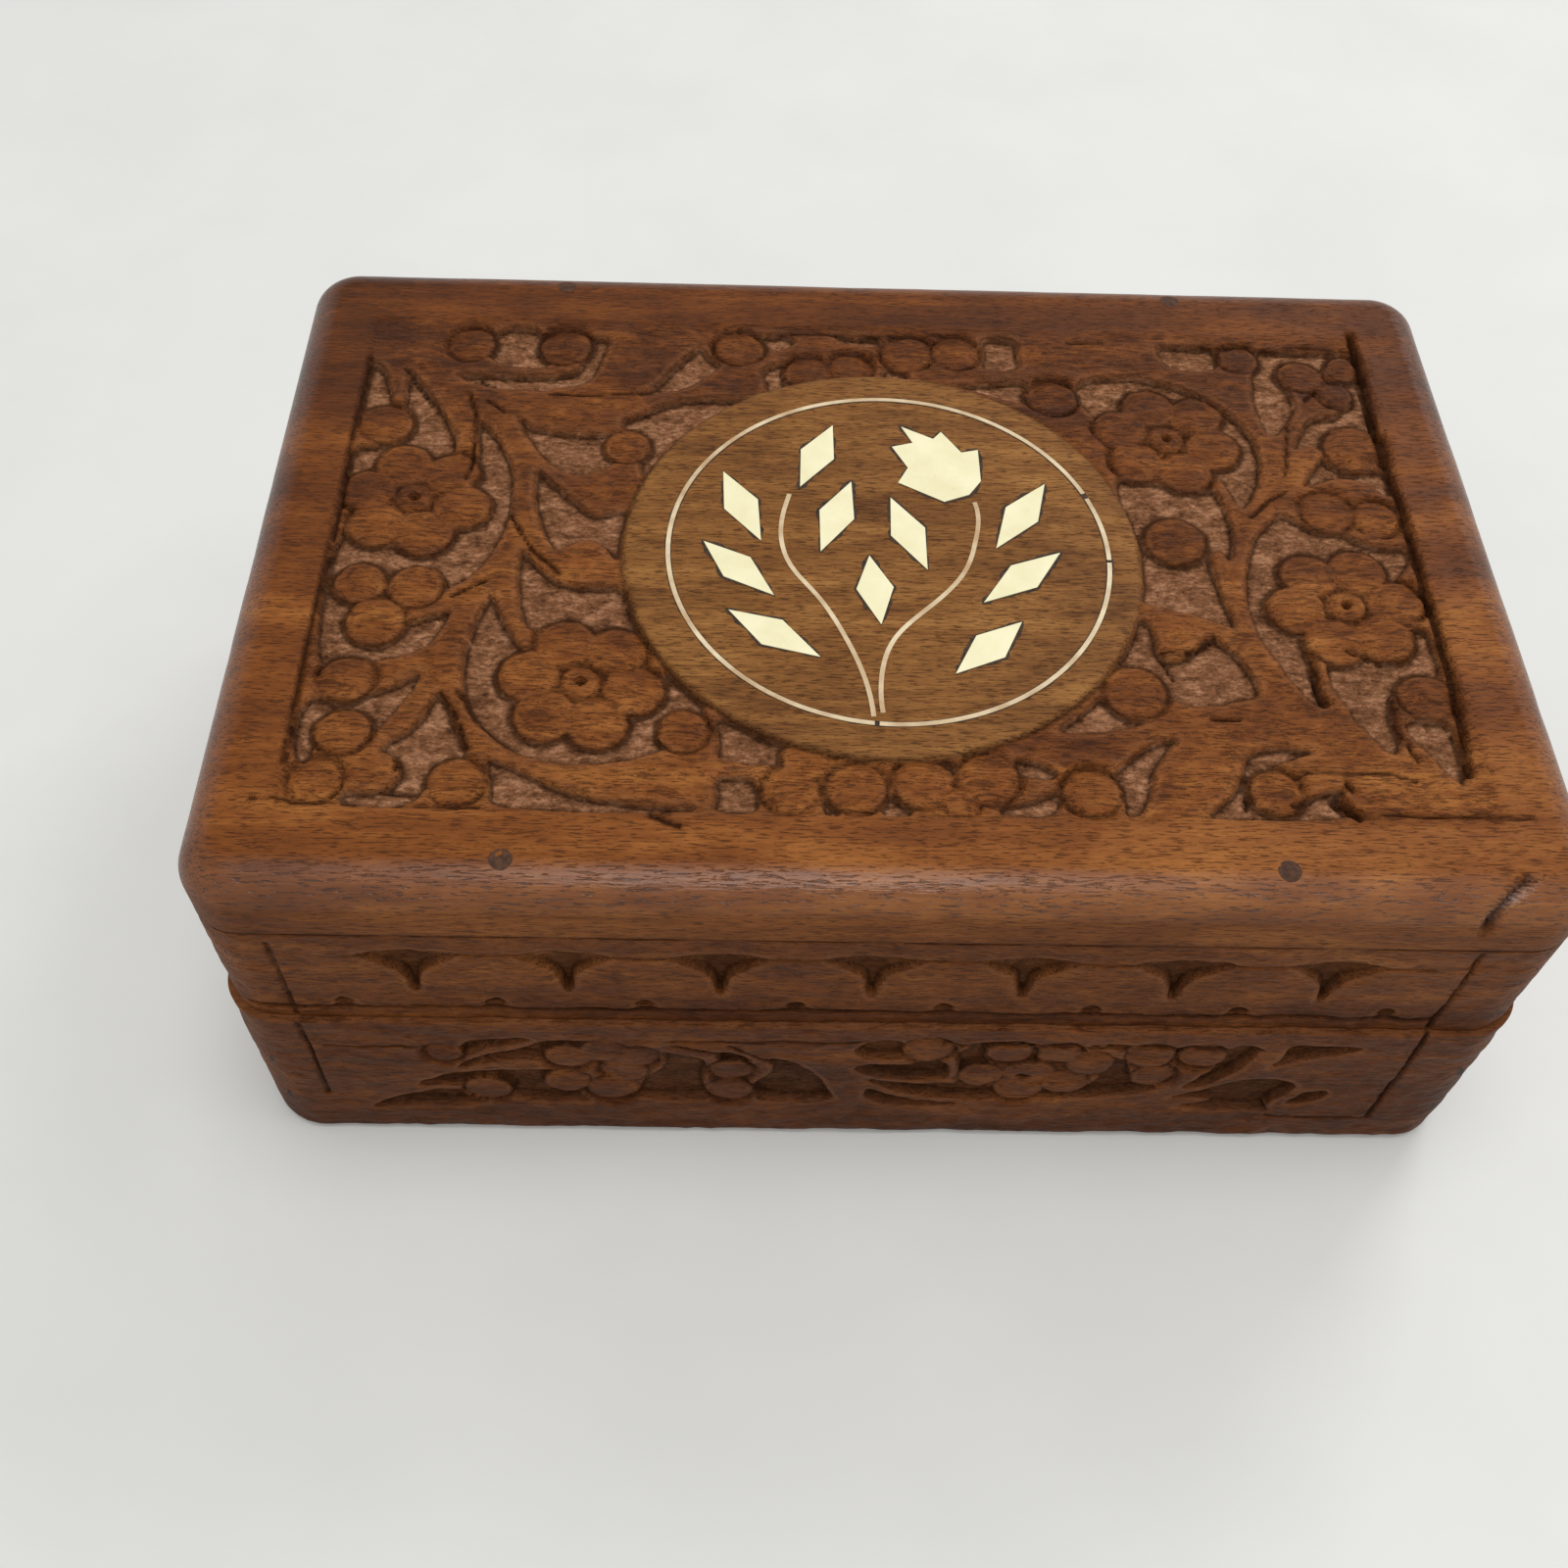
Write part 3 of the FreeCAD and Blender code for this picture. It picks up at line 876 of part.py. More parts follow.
finish("base_front", front_blank, long_side_ground("front"), base_brad_room, bottom_room)
finish("base_back", back_blank, long_side_ground("back"), base_brad_room, bottom_room,
       joined("base_hinge_room", hinge_room["base"]))
for side in ("left", "right"):
    finish("base_%s_end" % side, end_blanks[side], end_ground(side), base_brad_room, bottom_room)
finish("base_bottom_panel", bottom_blank, None, grouped("bottom_brad_room", bottom_brad_holes))
finish("lid_front_rail", lid_front_blank, scallop_cuts("front", LONG_DART_COUNT, dart_shift, lid_half_depth),
       lid_brad_room, peg_room)
finish("lid_back_rail", lid_back_blank, scallop_cuts("back", LONG_DART_COUNT, dart_shift, lid_half_depth),
       lid_brad_room, peg_room, joined("lid_hinge_room", hinge_room["lid"]))
for side in ("left", "right"):
    finish("lid_%s_rail" % side, lid_end_blanks[side],
           scallop_cuts(side, SHORT_DART_COUNT, 0, lid_half_width), lid_brad_room)
finish("lid_top_board", top_blank, top_ground(), inlay_pockets, peg_room)
doc.recompute()

NODES = [
    "base_front", "base_back", "base_left_end", "base_right_end", "base_bottom_panel",
    "base_corner_brads", "bottom_brads",
    "lid_top_board", "lid_front_rail", "lid_back_rail", "lid_left_rail", "lid_right_rail",
    "top_pegs", "lid_corner_brads",
    "hinge_left_base_leaf", "hinge_right_base_leaf", "hinge_left_lid_leaf", "hinge_right_lid_leaf",
    "hinge_left_pin", "hinge_right_pin", "hinge_base_screws", "hinge_lid_screws",
] + inlay_names

for piece in doc.Objects:
    if "Invalid" in piece.State or "Error" in piece.State:
        raise RuntimeError("%s failed to build: %s" % (piece.Name, piece.State))

os.makedirs("parts", exist_ok=True)
for node in NODES:
    piece = doc.getObject(node)
    piece.Label = node
    if piece.Shape.isNull() or not piece.Shape.isValid() or not piece.Shape.Solids:
        raise RuntimeError(node + " has no sound shape")
    piece.Shape.exportStep(os.path.join("parts", node + ".step"))
    print("%-24s solids %d volume %.1f" % (node, len(piece.Shape.Solids), piece.Shape.Volume))
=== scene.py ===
import math

import bpy
import numpy as np
from mathutils import Matrix, Vector


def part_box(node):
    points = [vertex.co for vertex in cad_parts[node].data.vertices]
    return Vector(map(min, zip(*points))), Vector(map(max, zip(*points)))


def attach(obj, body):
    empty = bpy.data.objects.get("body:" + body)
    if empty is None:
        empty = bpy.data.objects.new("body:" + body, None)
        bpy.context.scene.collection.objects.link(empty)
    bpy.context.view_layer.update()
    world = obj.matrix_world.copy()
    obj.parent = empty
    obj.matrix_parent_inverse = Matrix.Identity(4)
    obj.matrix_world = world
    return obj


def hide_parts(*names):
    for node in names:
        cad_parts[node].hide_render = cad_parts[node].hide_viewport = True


# Looks of the carved keepsake box. Lengths are written in millimetres and become metres in the meshes.
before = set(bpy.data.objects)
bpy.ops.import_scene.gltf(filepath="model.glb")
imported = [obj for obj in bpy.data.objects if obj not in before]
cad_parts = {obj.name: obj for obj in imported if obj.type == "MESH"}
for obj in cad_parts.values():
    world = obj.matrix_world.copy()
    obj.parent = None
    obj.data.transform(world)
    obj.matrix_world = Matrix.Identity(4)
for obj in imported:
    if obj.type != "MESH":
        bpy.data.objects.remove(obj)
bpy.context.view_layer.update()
MM = 0.001


def corners_of(node):
    """Lowest and highest corner of a CAD node, in millimetres."""
    low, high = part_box(node)
    return np.array(low) / MM, np.array(high) / MM


# Sizes read from the frame
front_low, front_high = corners_of("base_front")
rail_low, rail_high = corners_of("lid_front_rail")
top_low, top_high = corners_of("lid_top_board")
floor_high = corners_of("base_bottom_panel")[1]
pin_low, pin_high = corners_of("hinge_right_pin")
BASE_HALF_WIDTH = front_high[0]
BASE_HALF_DEPTH = -front_low[1]
BASE_HEIGHT = front_high[2]
BASE_WALL = front_high[1] - front_low[1]
INNER_HALF_DEPTH = -front_high[1]
LID_HALF_WIDTH = rail_high[0]
LID_HALF_DEPTH = -rail_low[1]
RAIL_TOP = rail_high[2]
RAIL_WALL = rail_high[1] - rail_low[1]
TOP_LEVEL = top_high[2]
TOP_FOOT = TOP_LEVEL - top_low[2]
PANEL_HALF_WIDTH = floor_high[0]
PANEL_HALF_DEPTH = floor_high[1]
PANEL_THICKNESS = floor_high[2]
PIVOT_PLACE = (pin_low[1] + pin_high[1]) / 2
HINGE_MIDDLE = (pin_low[0] + pin_high[0]) / 2

# Sizes that the frame doesn't give by a corner
CORNER_RADIUS = 7.0
LID_CORNER_RADIUS = CORNER_RADIUS - (BASE_HALF_WIDTH - LID_HALF_WIDTH)
TOP_ROUND = 4.4
FOOT_ROUND = 1.5
ARRIS = 0.22
BEVEL_SLOPE = math.tan(math.radians(50.5))
PANEL_GAP = 0.05
END_GAP = 0.08
LEAF_REACH = 5.5
LEAF_SINK = 0.95
KNUCKLE_ROOM = 2.0
HINGE_CLEARANCE = 0.3
HINGE_HALF_ROOM = (pin_high[0] - pin_low[0]) / 2 + HINGE_CLEARANCE
CARVING_DEPTH = 1.2
SIDE_CARVING_DEPTH = 1.6
WALL_RUN = 0.45
TOP_HALF_WIDTH = 65.0
TOP_HALF_DEPTH = 38.75
SIDE_HALF_LENGTH = 64.0
END_HALF_LENGTH = 40.0
SIDE_HALF_HEIGHT = 8.65
SIDE_MIDDLE = 16.2
MEDALLION_RADIUS = 31.0
MEDALLION_DROP = 1.5
MEDALLION_GROOVE = 0.4
MEDALLION_GROOVE_RUN = 0.35
MEDALLION_BLEND = 0.5
MEDALLION_SHADED_SIDE = math.radians(235)
BORDER_HALF_WIDTH = 65.3
BORDER_HALF_DEPTH = 39.2
BORDER_SHIFT = 0.6
BORDER_RUN = 0.4
BUD_RADIUS = 3.2
PETAL_RADIUS = 3.6
PETAL_ORBIT = 5.95
HEART_RADIUS = 2.4
EYE_RADIUS = 0.55
MOAT_DEPTH = 0.9
MOAT_WIDTH = 0.5
DOME_POWER = 4
DOME_LEAN = 0.2
DOME_SINK = 0.2
BUD_FALL = 0.45
PETAL_FALL = 0.5
EYE_DEPTH = 1.4
HAND_WOBBLE = 0.17
RAGGED = 0.4
SCOOP_DEPTH = 0.14
SCOOP_WANDER = 2.5
GROUND_ROUGH = 0.14
FACET_DEPTH = 0.36
RIPPLE_DEPTH = 0.12
RIM_FALL = 0.22
RIM_RUN = 0.5

# Marks of the tools: a SIZE is the size of their unevenness in millimetres, the rest its strength or form
WOBBLE_SIZE = 1.5
RAGGED_SIZE = 0.9
SCOOP_SIZE = 6.0
SCOOP_RATE = 0.9
SCOOP_SLANT = 0.25
ROUGH_SIZE = 1.6
FACET_SIZE = 3.2
FACET_STRETCH = 0.6
RIPPLE_SIZE = 8.0
RIPPLE_BASE = 0.7
FINE_SIZE = 0.9
FINE_STRETCH = 0.3
FINE_DEPTH = 0.05
MOAT_SIZE = 2.3
GROUND_LIFT = 0.1
CORE_DEPTH = 0.85
PLAIN_SIZE = 6.0
PLAIN_DEPTH = 0.04
EDGE_WAVE_SIZE = 9.0
EDGE_WAVE_DEPTH = 0.12

# Dirt and painted shade in the cuts, wear and tone: how strong, and where and how wide in millimetres or as a
# share of a radius
STROKE_DIRT_AND_SHADE = 1.6
CREASE_DIRT_AND_SHADE = 0.85
CREASE_PLACE_SHARE = 0.86
CREASE_RUN_SHARE = 0.12
CORE_DIRT_AND_SHADE = 0.9
GROOVE_DIRT_AND_SHADE = 0.9
FOOT_DIRT_RUN = 0.4
WALL_DIRT_AND_SHADE = 0.85
WALL_DARK_PLACE = 0.40
WALL_DARK_RUN = 0.25
RIM_WEAR_PLACE = 0.35
RIM_WEAR_RUN = 0.3
JOINT_DIRT = 0.7
JOINT_DIRT_RUN = 0.15
CHIP_RUN = 0.25
SIDE_GROUND_PALE_IN_SHADE = 0.3
SIDE_GROUND_SHADE = 0.62
SIDE_KNIFE_WORK = 0.6
FOOT_SHADE = 0.85
SHADE_FALL = 0.8
PATCH_SHADE = 0.35
PATCH_SIZE = 7.0
BACK_SHADE_START = -8.0
BACK_SHADE_RUN = 70.0
BACK_SHADE_LIMITS = (-0.25, 0.6)
LEFT_SHADE_START = 60.0
LEFT_SHADE_RUN = 20.0
LEFT_SHADE_LIMITS = (0.0, 0.3)

# Scallops, inlay and pegs
DART_PITCH = 17.0
DART_HALF_WIDTH = 6.6
DART_HEIGHT = 9.0
DART_DROP = 3.4
DART_FOOT = RAIL_TOP - DART_DROP - DART_HEIGHT
DART_SHIFT = 1.3
DART_FADE = 1.15
DART_LEAST = 0.4
DART_ROOM = 0.3
NICK_HALF_WIDTH = 1.8
NICK_HEIGHT = 2.2
NICK_RISE = 3.0
NICK_LEVEL = BASE_HEIGHT + NICK_RISE
RING_RADIUS = 26.3
RING_SHIFT = 0.8
INLAY_WIDTH = 0.55
INLAY_LEAF_WIDTH = 4.4
FILLER_PROUD = 0.015
FILLER_DEPTH = 0.5
FILLER_SIZE = 1.3
FILLER_LEAST = 0.05
PEG_RADIUS = 1.25
PEG_PROUD = 0.02
PEG_UNEVEN = 0.03
PEG_LENGTH = 6

# Steps of the surfaces
TOP_STEP = 0.45
SIDE_STEP = 0.34
CURVE_STEPS = 5
FLAT_RINGS = 12
ROUND_RINGS = 15
PEG_SIDES = 28
PEG_RINGS = 6
FILLER_STEPS = 72
RING_STEPS = 420

# Seeds of the noises
WOBBLE_SEED = 91
STROKE_SEED = 53
GROOVE_SEED = 5
PEG_SEED = 9
PLAIN_SEED = 40
EDGE_WAVE_SEED = 61
PATCH_SEED = 77
FILLER_SEED = 500
RING_FILLER_SEED = 560
TOP_SEED = 100
BASE_SEEDS = {"front": 300, "back": 320, "left": 340, "right": 360}
RAIL_SEEDS = {"front": 400, "right": 420, "back": 440, "left": 460}

# Carver's grid: parts counted from the middle of a panel to its rim
TOP_WIDTH_PARTS = 65
TOP_DEPTH_PARTS = 38.75
SIDE_LENGTH_PARTS = 64
SIDE_HEIGHT_PARTS = 8.65

# Sunk ground of the top panel: outlines cut between the raised stems, leaves and borders, counted in parts.
# They run on under the buds, flowers and medallion, which are left standing.
TOP_GROUND_SHARES = (
    ((-65.2, 30.8), (-63.5, 30.2), (-62.2, 26.5), (-61.0, 22.4), (-63.0, 20.0), (-65.4, 20.0), (-65.4, 26.0)),
    ((-60.2, 30.2), (-58.0, 27.0), (-55.7, 23.4), (-53.6, 19.6), (-52.4, 16.4), (-51.8, 11.5), (-54.0, 9.0),
     (-60.0, 7.0), (-65.4, 7.0), (-65.4, 15.6), (-62.0, 15.0), (-60.5, 20.0), (-59.9, 24.5), (-60.4, 27.2)),
    ((-50.4, 20.6), (-48.0, 18.2), (-46.0, 14.6), (-44.7, 10.6), (-44.5, 6.0), (-44.8, 2.0), (-45.7, -2.0),
     (-47.2, -5.2), (-49.4, -7.8), (-51.8, -9.6), (-54.5, -9.5), (-57.5, -12.0), (-55.2, -13.9),
     (-52.6, -12.6), (-49.6, -11.4), (-50.4, -14.2), (-51.9, -17.4), (-54.0, -18.6), (-57.6, -19.6),
     (-60.5, -21.0), (-65.2, -21.0), (-65.2, 2.2), (-62.0, 1.0), (-56.0, 3.0), (-50.0, 5.0), (-49.7, 10.0),
     (-49.9, 15.0)),
    ((-65.2, -25.2), (-62.0, -24.0), (-58.0, -24.4), (-55.0, -22.7), (-52.0, -20.4), (-52.3, -22.8),
     (-54.1, -26.2), (-56.0, -29.6), (-57.2, -31.6), (-60.0, -30.0), (-62.4, -31.5), (-62.6, -33.6),
     (-65.2, -33.6)),
    ((-50.3, -23.0), (-48.5, -26.0), (-47.1, -29.4), (-45.4, -32.8), (-47.0, -34.0), (-50.0, -36.5),
     (-50.4, -39.6), (-59.0, -39.6), (-59.4, -37.4), (-54.2, -37.2), (-53.0, -35.5), (-53.4, -32.8),
     (-56.2, -32.3), (-54.6, -30.3), (-52.6, -29.0), (-51.2, -26.4)),
    ((-45.5, -8.4), (-44.5, -11.8), (-42.9, -15.0), (-40.9, -17.8), (-39.0, -19.5), (-38.0, -26.0),
     (-31.0, -27.0), (-28.0, -25.0), (-25.4, -22.6), (-25.0, -17.5), (-20.0, -24.5), (-20.5, -27.5),
     (-24.0, -31.4), (-28.0, -32.9), (-33.0, -33.7), (-37.0, -33.5), (-40.4, -32.7), (-43.2, -30.7),
     (-45.7, -27.9), (-47.3, -24.8), (-48.0, -21.0), (-47.9, -17.0), (-47.1, -12.8), (-46.2, -10.0)),
    ((-43.1, -1.8), (-41.6, -3.2), (-39.6, -5.6), (-37.6, -7.4), (-34.5, -7.7), (-30.0, -7.4), (-27.0, -14.0),
     (-31.0, -16.5), (-37.0, -16.5), (-40.6, -15.5), (-42.1, -12.6), (-42.9, -8.5), (-43.2, -5.0)),
    ((-42.4, 12.4), (-40.6, 10.0), (-38.0, 7.2), (-35.8, 4.9), (-34.3, 3.9), (-32.4, 4.8), (-30.0, 5.2),
     (-30.0, -2.0), (-31.8, -4.4), (-33.2, -1.2), (-35.4, -0.2), (-37.6, -1.6), (-38.9, -2.6), (-40.5, 0.2),
     (-41.6, 3.6), (-42.3, 7.0)),
    ((-45.8, 21.2), (-43.0, 18.9), (-39.0, 18.3), (-35.5, 18.1), (-32.5, 18.6), (-31.0, 15.0), (-32.8, 12.2),
     (-35.5, 10.7), (-37.7, 10.3), (-40.4, 12.0), (-42.6, 14.8), (-44.5, 17.8)),
    ((-33.0, 20.3), (-30.0, 21.8), (-27.0, 24.1), (-22.5, 25.2), (-17.5, 25.1), (-13.4, 24.6), (-15.5, 21.0),
     (-20.0, 16.0), (-25.0, 10.0), (-28.8, 9.0), (-29.6, 12.0), (-30.0, 15.0), (-30.8, 18.4)),
    ((-49.3, 38.0), (-46.5, 38.4), (-43.8, 37.8), (-42.0, 34.0), (-42.0, 31.0), (-42.6, 29.6), (-47.5, 30.3),
     (-49.2, 30.9), (-51.0, 33.0)),
    ((-37.6, 36.8), (-34.0, 36.2), (-34.8, 33.5), (-35.6, 31.0), (-36.0, 28.2), (-38.5, 26.4), (-44.0, 25.4),
     (-50.5, 26.2), (-55.2, 28.5), (-50.0, 28.9), (-45.0, 28.6), (-41.8, 28.9), (-38.5, 29.6), (-38.0, 32.0),
     (-38.5, 34.5)),
    ((-22.6, 35.6), (-24.8, 32.7), (-26.7, 29.8), (-28.3, 27.0), (-31.0, 25.2), (-27.0, 25.4), (-23.7, 26.9),
     (-21.3, 29.0), (-19.4, 31.6), (-21.5, 33.0)),
    ((-16.4, 37.9), (-13.0, 37.8), (-10.2, 37.6), (-10.0, 35.8), (-12.0, 34.2), (-15.0, 34.0), (-15.6, 35.8)),
    ((-11.0, 32.9), (-11.9, 30.2), (-11.0, 28.0), (-12.2, 24.8), (-14.4, 25.2), (-14.0, 28.0), (-15.0, 30.2),
     (-13.2, 32.0)),
    ((-6.0, 38.1), (1.8, 37.8), (1.8, 35.7), (-1.5, 35.4), (-4.4, 36.5)),
    ((1.0, 32.2), (4.6, 31.4), (5.0, 29.0), (0.8, 28.6)),
    ((14.2, 38.2), (19.8, 38.2), (19.3, 35.0), (20.0, 31.6), (14.6, 31.6), (14.2, 33.0), (14.9, 35.5)),
    ((10.2, 29.0), (14.5, 28.9), (20.0, 30.4), (21.0, 27.0), (20.0, 24.6), (17.0, 25.6), (13.5, 27.1),
     (10.4, 28.2)),
    ((26.2, 29.2), (29.0, 30.9), (34.0, 31.1), (38.0, 30.1), (41.7, 28.4), (44.7, 25.9), (47.0, 23.0),
     (48.4, 19.6), (48.7, 16.0), (48.0, 12.2), (46.8, 9.2), (45.2, 6.6), (43.9, 7.6), (43.4, 11.0),
     (41.5, 14.0), (37.0, 19.0), (30.0, 21.0), (27.2, 24.0), (26.0, 26.8)),
    ((29.4, 12.6), (33.0, 12.2), (36.5, 11.0), (41.4, 12.8), (42.5, 9.5), (43.2, 5.5), (43.1, 1.5),
     (41.9, -2.8), (41.0, 0.0), (39.5, -0.8), (40.0, -4.6), (40.5, -8.6), (41.4, -13.2), (38.6, -11.5),
     (35.0, -10.0), (29.6, -9.4), (29.6, 0.0), (29.6, 8.0)),
    ((37.4, 37.4), (42.4, 37.6), (46.6, 36.8), (46.5, 34.6), (45.6, 32.4), (41.0, 32.0), (38.4, 33.5)),
    ((50.4, 37.0), (56.0, 36.8), (64.2, 36.8), (64.6, 35.2), (62.0, 33.5), (58.0, 32.5), (55.0, 31.0),
     (54.6, 28.6), (55.2, 26.0), (53.6, 22.8), (51.6, 20.2), (50.0, 19.8), (49.5, 23.0), (49.2, 27.0),
     (49.7, 31.0), (50.6, 34.0)),
    ((64.6, 31.6), (62.2, 31.0), (61.6, 27.0), (59.5, 23.8), (57.6, 24.4), (56.0, 23.6), (54.0, 20.4),
     (52.4, 17.2), (56.0, 18.6), (59.0, 17.0), (62.0, 16.5), (64.6, 17.0), (64.7, 24.0)),
    ((56.6, 17.4), (57.4, 15.2), (59.6, 14.0), (62.0, 14.0), (64.4, 15.2), (64.4, 9.3), (62.8, 9.6),
     (61.6, 11.8), (59.0, 12.8), (55.6, 12.2), (52.2, 10.6), (54.2, 13.4), (55.4, 15.4)),
    ((49.6, 7.0), (47.2, 4.8), (45.3, 2.0), (43.9, -1.6), (43.0, -5.2), (42.6, -9.5), (43.1, -13.2),
     (44.4, -17.2), (46.1, -20.9), (48.0, -23.6), (49.7, -24.6), (49.3, -20.5), (48.7, -16.6), (48.5, -12.0),
     (53.0, -8.0), (60.0, -5.0), (62.5, -4.0), (64.2, -1.0), (64.2, 1.6), (61.0, 1.0), (58.0, 2.2),
     (57.0, 3.6), (53.0, 3.6), (51.4, 5.4)),
    ((49.9, -16.2), (53.4, -15.0), (56.6, -16.8), (58.8, -15.0), (60.2, -12.2), (63.9, -11.2), (63.9, -20.5),
     (60.0, -21.0), (57.4, -21.6), (56.4, -25.0), (57.0, -29.4), (55.6, -31.0), (53.9, -28.8), (51.9, -25.4),
     (50.4, -21.0)),
    ((57.4, -25.4), (60.0, -24.5), (63.2, -25.4), (63.2, -31.0), (62.6, -35.4), (60.8, -33.2), (58.8, -29.5),
     (57.4, -27.0)),
    ((28.6, -10.6), (31.0, -11.4), (31.4, -13.6), (31.5, -16.9), (33.2, -17.3), (35.3, -16.0), (37.4, -12.9),
     (39.7, -15.0), (41.5, -18.2), (42.8, -22.4), (39.5, -23.3), (36.0, -24.2), (33.2, -24.2), (31.0, -22.5),
     (28.0, -21.0), (26.0, -20.0), (24.5, -18.5), (28.0, -12.0)),
    ((24.2, -22.2), (21.5, -25.0), (17.4, -28.4), (22.0, -28.3), (26.6, -27.5), (30.0, -26.6), (26.8, -25.8),
     (25.2, -24.0)),
    ((32.6, -28.0), (28.6, -29.3), (25.5, -31.8), (23.3, -33.8), (24.8, -36.0), (24.4, -39.6), (26.8, -39.2),
     (28.0, -36.4), (28.7, -33.4), (30.4, -30.6)),
    ((47.6, -30.2), (43.5, -29.2), (40.0, -29.8), (38.5, -31.6), (37.7, -34.0), (36.5, -36.2), (34.0, -38.2),
     (32.4, -39.5), (46.8, -39.5), (49.3, -38.8), (48.0, -37.2), (50.1, -34.6), (46.0, -35.5), (44.6, -36.6),
     (41.0, -35.0), (39.6, -34.2), (41.3, -32.5), (44.0, -31.6)),
    ((13.0, -31.4), (15.0, -31.6), (18.6, -33.4), (17.6, -34.8), (14.6, -34.6), (13.4, -33.2)),
    ((11.0, -38.0), (15.0, -37.0), (18.4, -35.5), (18.0, -39.0), (16.0, -39.7), (10.6, -39.6)),
    ((4.4, -32.0), (7.2, -31.8), (6.9, -35.6)),
    ((-7.7, -36.2), (-4.8, -40.0), (-8.0, -40.0)),
    ((-2.0, -38.0), (0.2, -36.2), (2.6, -39.0), (1.6, -40.0), (-1.4, -40.0)),
    ((-19.8, -34.5), (-14.6, -34.5), (-14.4, -36.5), (-13.8, -39.8), (-19.8, -39.8), (-18.9, -37.0)),
    ((-20.0, -26.5), (-16.5, -27.0), (-10.6, -29.0), (-10.2, -31.6), (-11.4, -33.6), (-15.5, -33.3),
     (-19.6, -32.6), (-18.7, -30.0)),
    ((-44.2, -32.4), (-41.4, -33.5), (-39.6, -34.5), (-36.6, -36.3), (-32.0, -37.7), (-26.0, -38.5),
     (-20.6, -38.9), (-20.6, -39.9), (-43.2, -39.9), (-43.2, -37.0), (-43.8, -34.6)),
)

# Buds and single petals left standing on the top panel: place as shares of half the panel's width and depth,
# then a share of the bud's radius
TOP_BUD_SHARES = (
    (-0.95, 0.495, 1.10), (-0.94, -0.20, 0.97), (-0.84, -0.21, 1.00), (-0.90, -0.35, 1.09),
    (-0.93, -0.57, 1.03), (-0.92, -0.76, 1.00), (-0.95, -0.93, 0.94), (-0.72, -0.93, 1.00),
    (-0.81, 0.89, 1.00), (-0.62, 0.89, 1.09), (-0.48, 0.41, 0.91), (-0.35, -0.74, 0.91),
    (-0.27, 0.90, 1.06), (-0.13, 0.78, 1.00), (-0.045, 0.81, 0.94), (0.07, 0.89, 1.09),
    (0.17, 0.90, 1.03), (0.355, 0.685, 1.06), (0.75, 0.90, 0.87), (0.87, 0.82, 0.97),
    (0.93, 0.73, 0.75), (0.965, 0.865, 0.75), (0.94, 0.47, 1.31), (0.85, 0.18, 1.09), (0.94, 0.15, 0.94),
    (0.55, 0.04, 1.19), (0.43, -0.57, 1.17), (0.94, -0.57, 1.03), (0.64, -0.92, 0.94),
    (0.33, -0.93, 1.03), (-0.14, -0.83, 0.94), (-0.17, -0.94, 1.00), (-0.06, -0.93, 1.06),
    (0.05, -0.91, 1.06), (0.16, -0.89, 1.08), (0.11, -0.97, 0.69),
)

# Open flowers of the top panel: place as above, then their turn as a share of the step between petals
TOP_FLOWER_SHARES = ((-0.87, 0.16, -0.20), (-0.53, -0.57, -0.15), (0.57, 0.50, -0.25), (0.84, -0.22, 0.10))
PETAL_COUNT = 6

